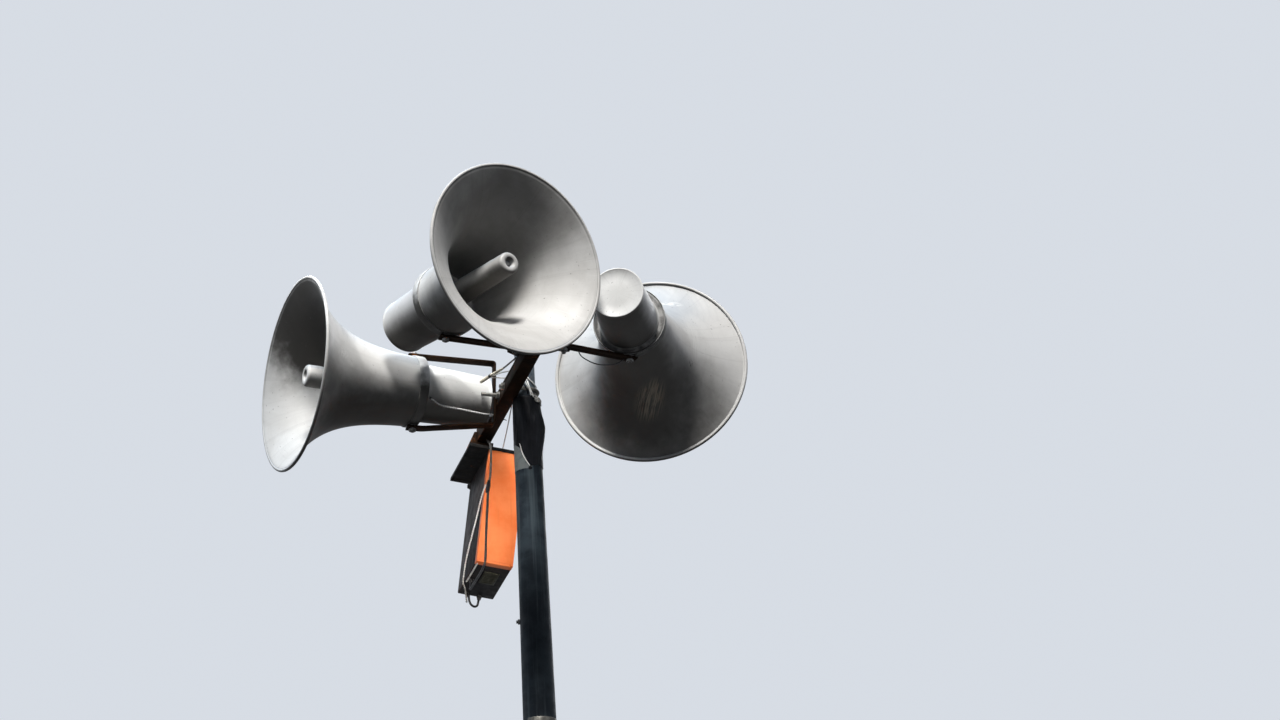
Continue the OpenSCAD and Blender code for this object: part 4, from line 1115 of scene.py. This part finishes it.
def makeStrip(c):
    # a flat tube along a smooth line that keeps its distance from the shaft
    line = smoothLine([around(d, float(shaftRadius(np.array(z))) + out, z) for d, out, z in c["route"]], 90)
    wide = np.interp(np.linspace(0, 1, len(line)), *c["widths"])
    onMast("wrapStrip", [tubeSet(line, wide, 16, squeeze=c["squeeze"])], "cable_pale", material=whiteTape)


# strips and strands that tie the joint between the crossbar and the pipe: material, radius, flatness, and route
# as (degrees, radius, height)
ties = {"tiePale": (whiteTape, 0.0018, 0.45, ((246, 0.0275, 7.292), (251, 0.0282, 7.274), (260, 0.0358, 7.252),
                                              (268, 0.0375, 7.241), (275, 0.0372, 7.229), (278, 0.0362, 7.218))),
        "tieSecond": (whiteTape, 0.0013, 0.6, ((262, 0.0272, 7.283), (264, 0.0282, 7.268), (269, 0.0362, 7.25),
                                               (273, 0.038, 7.24), (281, 0.0372, 7.228), (289, 0.0365, 7.214))),
        "tieDark": (film, 0.0021, 0.7, ((238, 0.0275, 7.27), (245, 0.0355, 7.2565), (254, 0.0385, 7.245),
                                        (263, 0.0385, 7.233), (266, 0.0372, 7.222)))}
# a wire's end at the crossbar, and the screw of the hood with its washer
wireEnd = ((-0.0262, 0.183, 7.236), (-0.0215, 0.178, 7.2368), (-0.0165, 0.1745, 7.2362), (-0.0125, 0.172, 7.2335))
hoodScrew = {"spot": (-0.0853, 0.3024, 7.0992), "washer": [[0, 0], [0.0075, 0], [0.0078, 0.0004], [0.0078, 0.0014],
                                                          [0, 0.0014]], "head": (0.01, 0.005)}


def makeTie(name, material, radius, squeeze, route):
    # a flat tube along a smooth line, uneven in width
    line = smoothLine(route, 60)
    size = radius * (1 + 0.18 * ragged(np.linspace(0, 6, len(line)), len(name), 1.0))
    onMast(name, [tubeSet(line, size, 14, squeeze=squeeze)], "cable_pale", material=material)


def makeHoodScrew(c):
    side = alongAxis(placeAt(c["spot"], 0, 0), (-1, 0, 0))
    head = hexSet(shifted(side, c["washer"][-1][1], 0, 0), *c["head"])
    onMast("hoodScrew", [turnedSet(c["washer"], side, 32), head], "dark_steel", smooth=False,
           material=materials["dark_sheet"])


makeFilm(wrap)
for name, tape in tapes.items():
    makeTape(name, tape)
makeStrip(strip)
onMast("wrapKnot", [knotSet(0.0042, 0.0036, (0.18, 5), placeAt(around(262, 0.0385, 7.0205), 20, 262), 0.08, 1.0)],
       "black_film")
for name, (material, radius, squeeze, route) in ties.items():
    makeTie(name, material, radius, squeeze, [around(*spot) for spot in route])
makeTie("wireEnd", film, 0.0011, 1.0, wireEnd)
onMast("tieKnot", [knotSet(0.0046, 0.0062, (0.12, 6), placeAt(around(236.5, 0.0415, 7.2475), 70, 236), 0.07, 2.0)],
       "cable_pale", material=whiteTape)
makeHoodScrew(hoodScrew)
print("wrapping is made")

# floor, backdrop and lamps: half the floor's width, the lamps' places and sizes in metres, their power in watts,
# and how wide their beam is in degrees
studio = {"half": 40.0, "floor": (0.78, 0.78, 0.77), "ground": (0.1, 0.095, 0.09), "sky": (0.68, 0.72, 0.78),
          "fill": (0.06, 0.065, 0.078), "glow": 0.3}
lamps = {"key": {"from": (-1.6, -5.3, 14.3), "size": 1.7, "power": 930, "tone": (1.0, 0.98, 0.95)},
         "skyLeft": {"from": (-5.5, 1.5, 12.0), "size": 3.5, "power": 110, "tone": (0.7, 0.85, 1.0)},
         "skyAbove": {"from": (-1.5, 2.5, 15.2), "size": 4.0, "power": 270, "tone": (0.7, 0.85, 1.0)},
         "neckLeft": {"from": (-3.55, -2.65, 11.5), "to": (-0.29, 0.05, 7.32), "size": 0.3, "power": 0.62,
                      "beam": 6.0, "tone": (1.0, 0.98, 0.95)},
         "boxFront": {"from": (-1.3, -4.6, 5.7), "to": (-0.05, 0.2565, 6.99), "size": 0.2, "power": 0.37,
                      "beam": 6, "tone": (1.0, 0.98, 0.96)},
         "backRight": {"from": (5.0, 5.5, 10.5), "size": 2.5, "power": 100, "tone": (0.97, 0.98, 1.0)},
         "foot": {"from": (-2.5, -6.0, 4.5), "to": (0, 0, 1.6), "size": 2.0, "power": 70, "beam": 60,
                  "tone": (1, 1, 1)}}
mastHead = (0, 0, 7.2)      # where lamps without an aim of their own look


def shownRays(tree):
    # 1 for rays that show the backdrop: those of the camera, of reflections and of glass
    path = part(tree, "ShaderNodeLightPath").outputs
    return maths(tree, "MAXIMUM", path["Is Camera Ray"],
                 maths(tree, "MAXIMUM", path["Is Glossy Ray"], path["Is Transmission Ray"]))


def makeFloor(c):
    # a pale floor; rays of the camera, of reflections and of glass see it darker, with a share of the sky's glow
    h = c["half"]
    floor = meshOf("floor", [([[-h, -h, 0], [h, -h, 0], [h, h, 0], [-h, h, 0]], [[0, 1, 2, 3]], None)])
    material, tree, shader, where = newMaterial("floorPaint", 0.0, 0.8)
    tone = mixed(tree, patches(tree, where, 1.5, 4, 0.5), c["floor"], tuple(0.97 * k for k in c["floor"]))
    seen = shownRays(tree)
    linked(tree, shader, Base_Color=mixed(tree, seen, c["ground"], tone))
    glow = part(tree, "ShaderNodeEmission", {"Color": c["sky"], "Strength": 1.0}).outputs[0]
    mix = part(tree, "ShaderNodeMixShader", {0: times(tree, seen, c["glow"]), 1: shader.outputs[0], 2: glow})
    tree.links.new(mix.outputs[0], tree.nodes["Material Output"].inputs["Surface"])
    floor.data.materials.append(material)


def makeWorld(c):
    world = bpy.data.worlds.new("world")
    scene.world = world
    world.use_nodes = True
    tree = world.node_tree
    tree.links.new(mixed(tree, shownRays(tree), c["fill"], c["sky"]), tree.nodes["Background"].inputs["Color"])


def makeLamp(name, lamp):
    light = bpy.data.lights.new(name, "AREA")
    light.shape, light.size, light.energy, light.color = "DISK", lamp["size"], lamp["power"], lamp["tone"]
    light.spread = math.radians(lamp.get("beam", 180))
    made = bpy.data.objects.new(name, light)
    scene.collection.objects.link(made)
    spot = np.array(lamp["from"], float)
    d = np.array(lamp.get("to", mastHead), float) - spot
    d /= np.linalg.norm(d)
    side = np.cross(d, [0, 0, 1.0])
    side /= np.linalg.norm(side)
    made.matrix_world = Matrix(fromAxes(side, np.cross(side, d), -d, spot).tolist())
    made.visible_camera = False


makeFloor(studio)
makeWorld(studio)
for name, lamp in lamps.items():
    makeLamp(name, lamp)
scene.view_settings.view_transform = "Standard"
print("studio is lit")
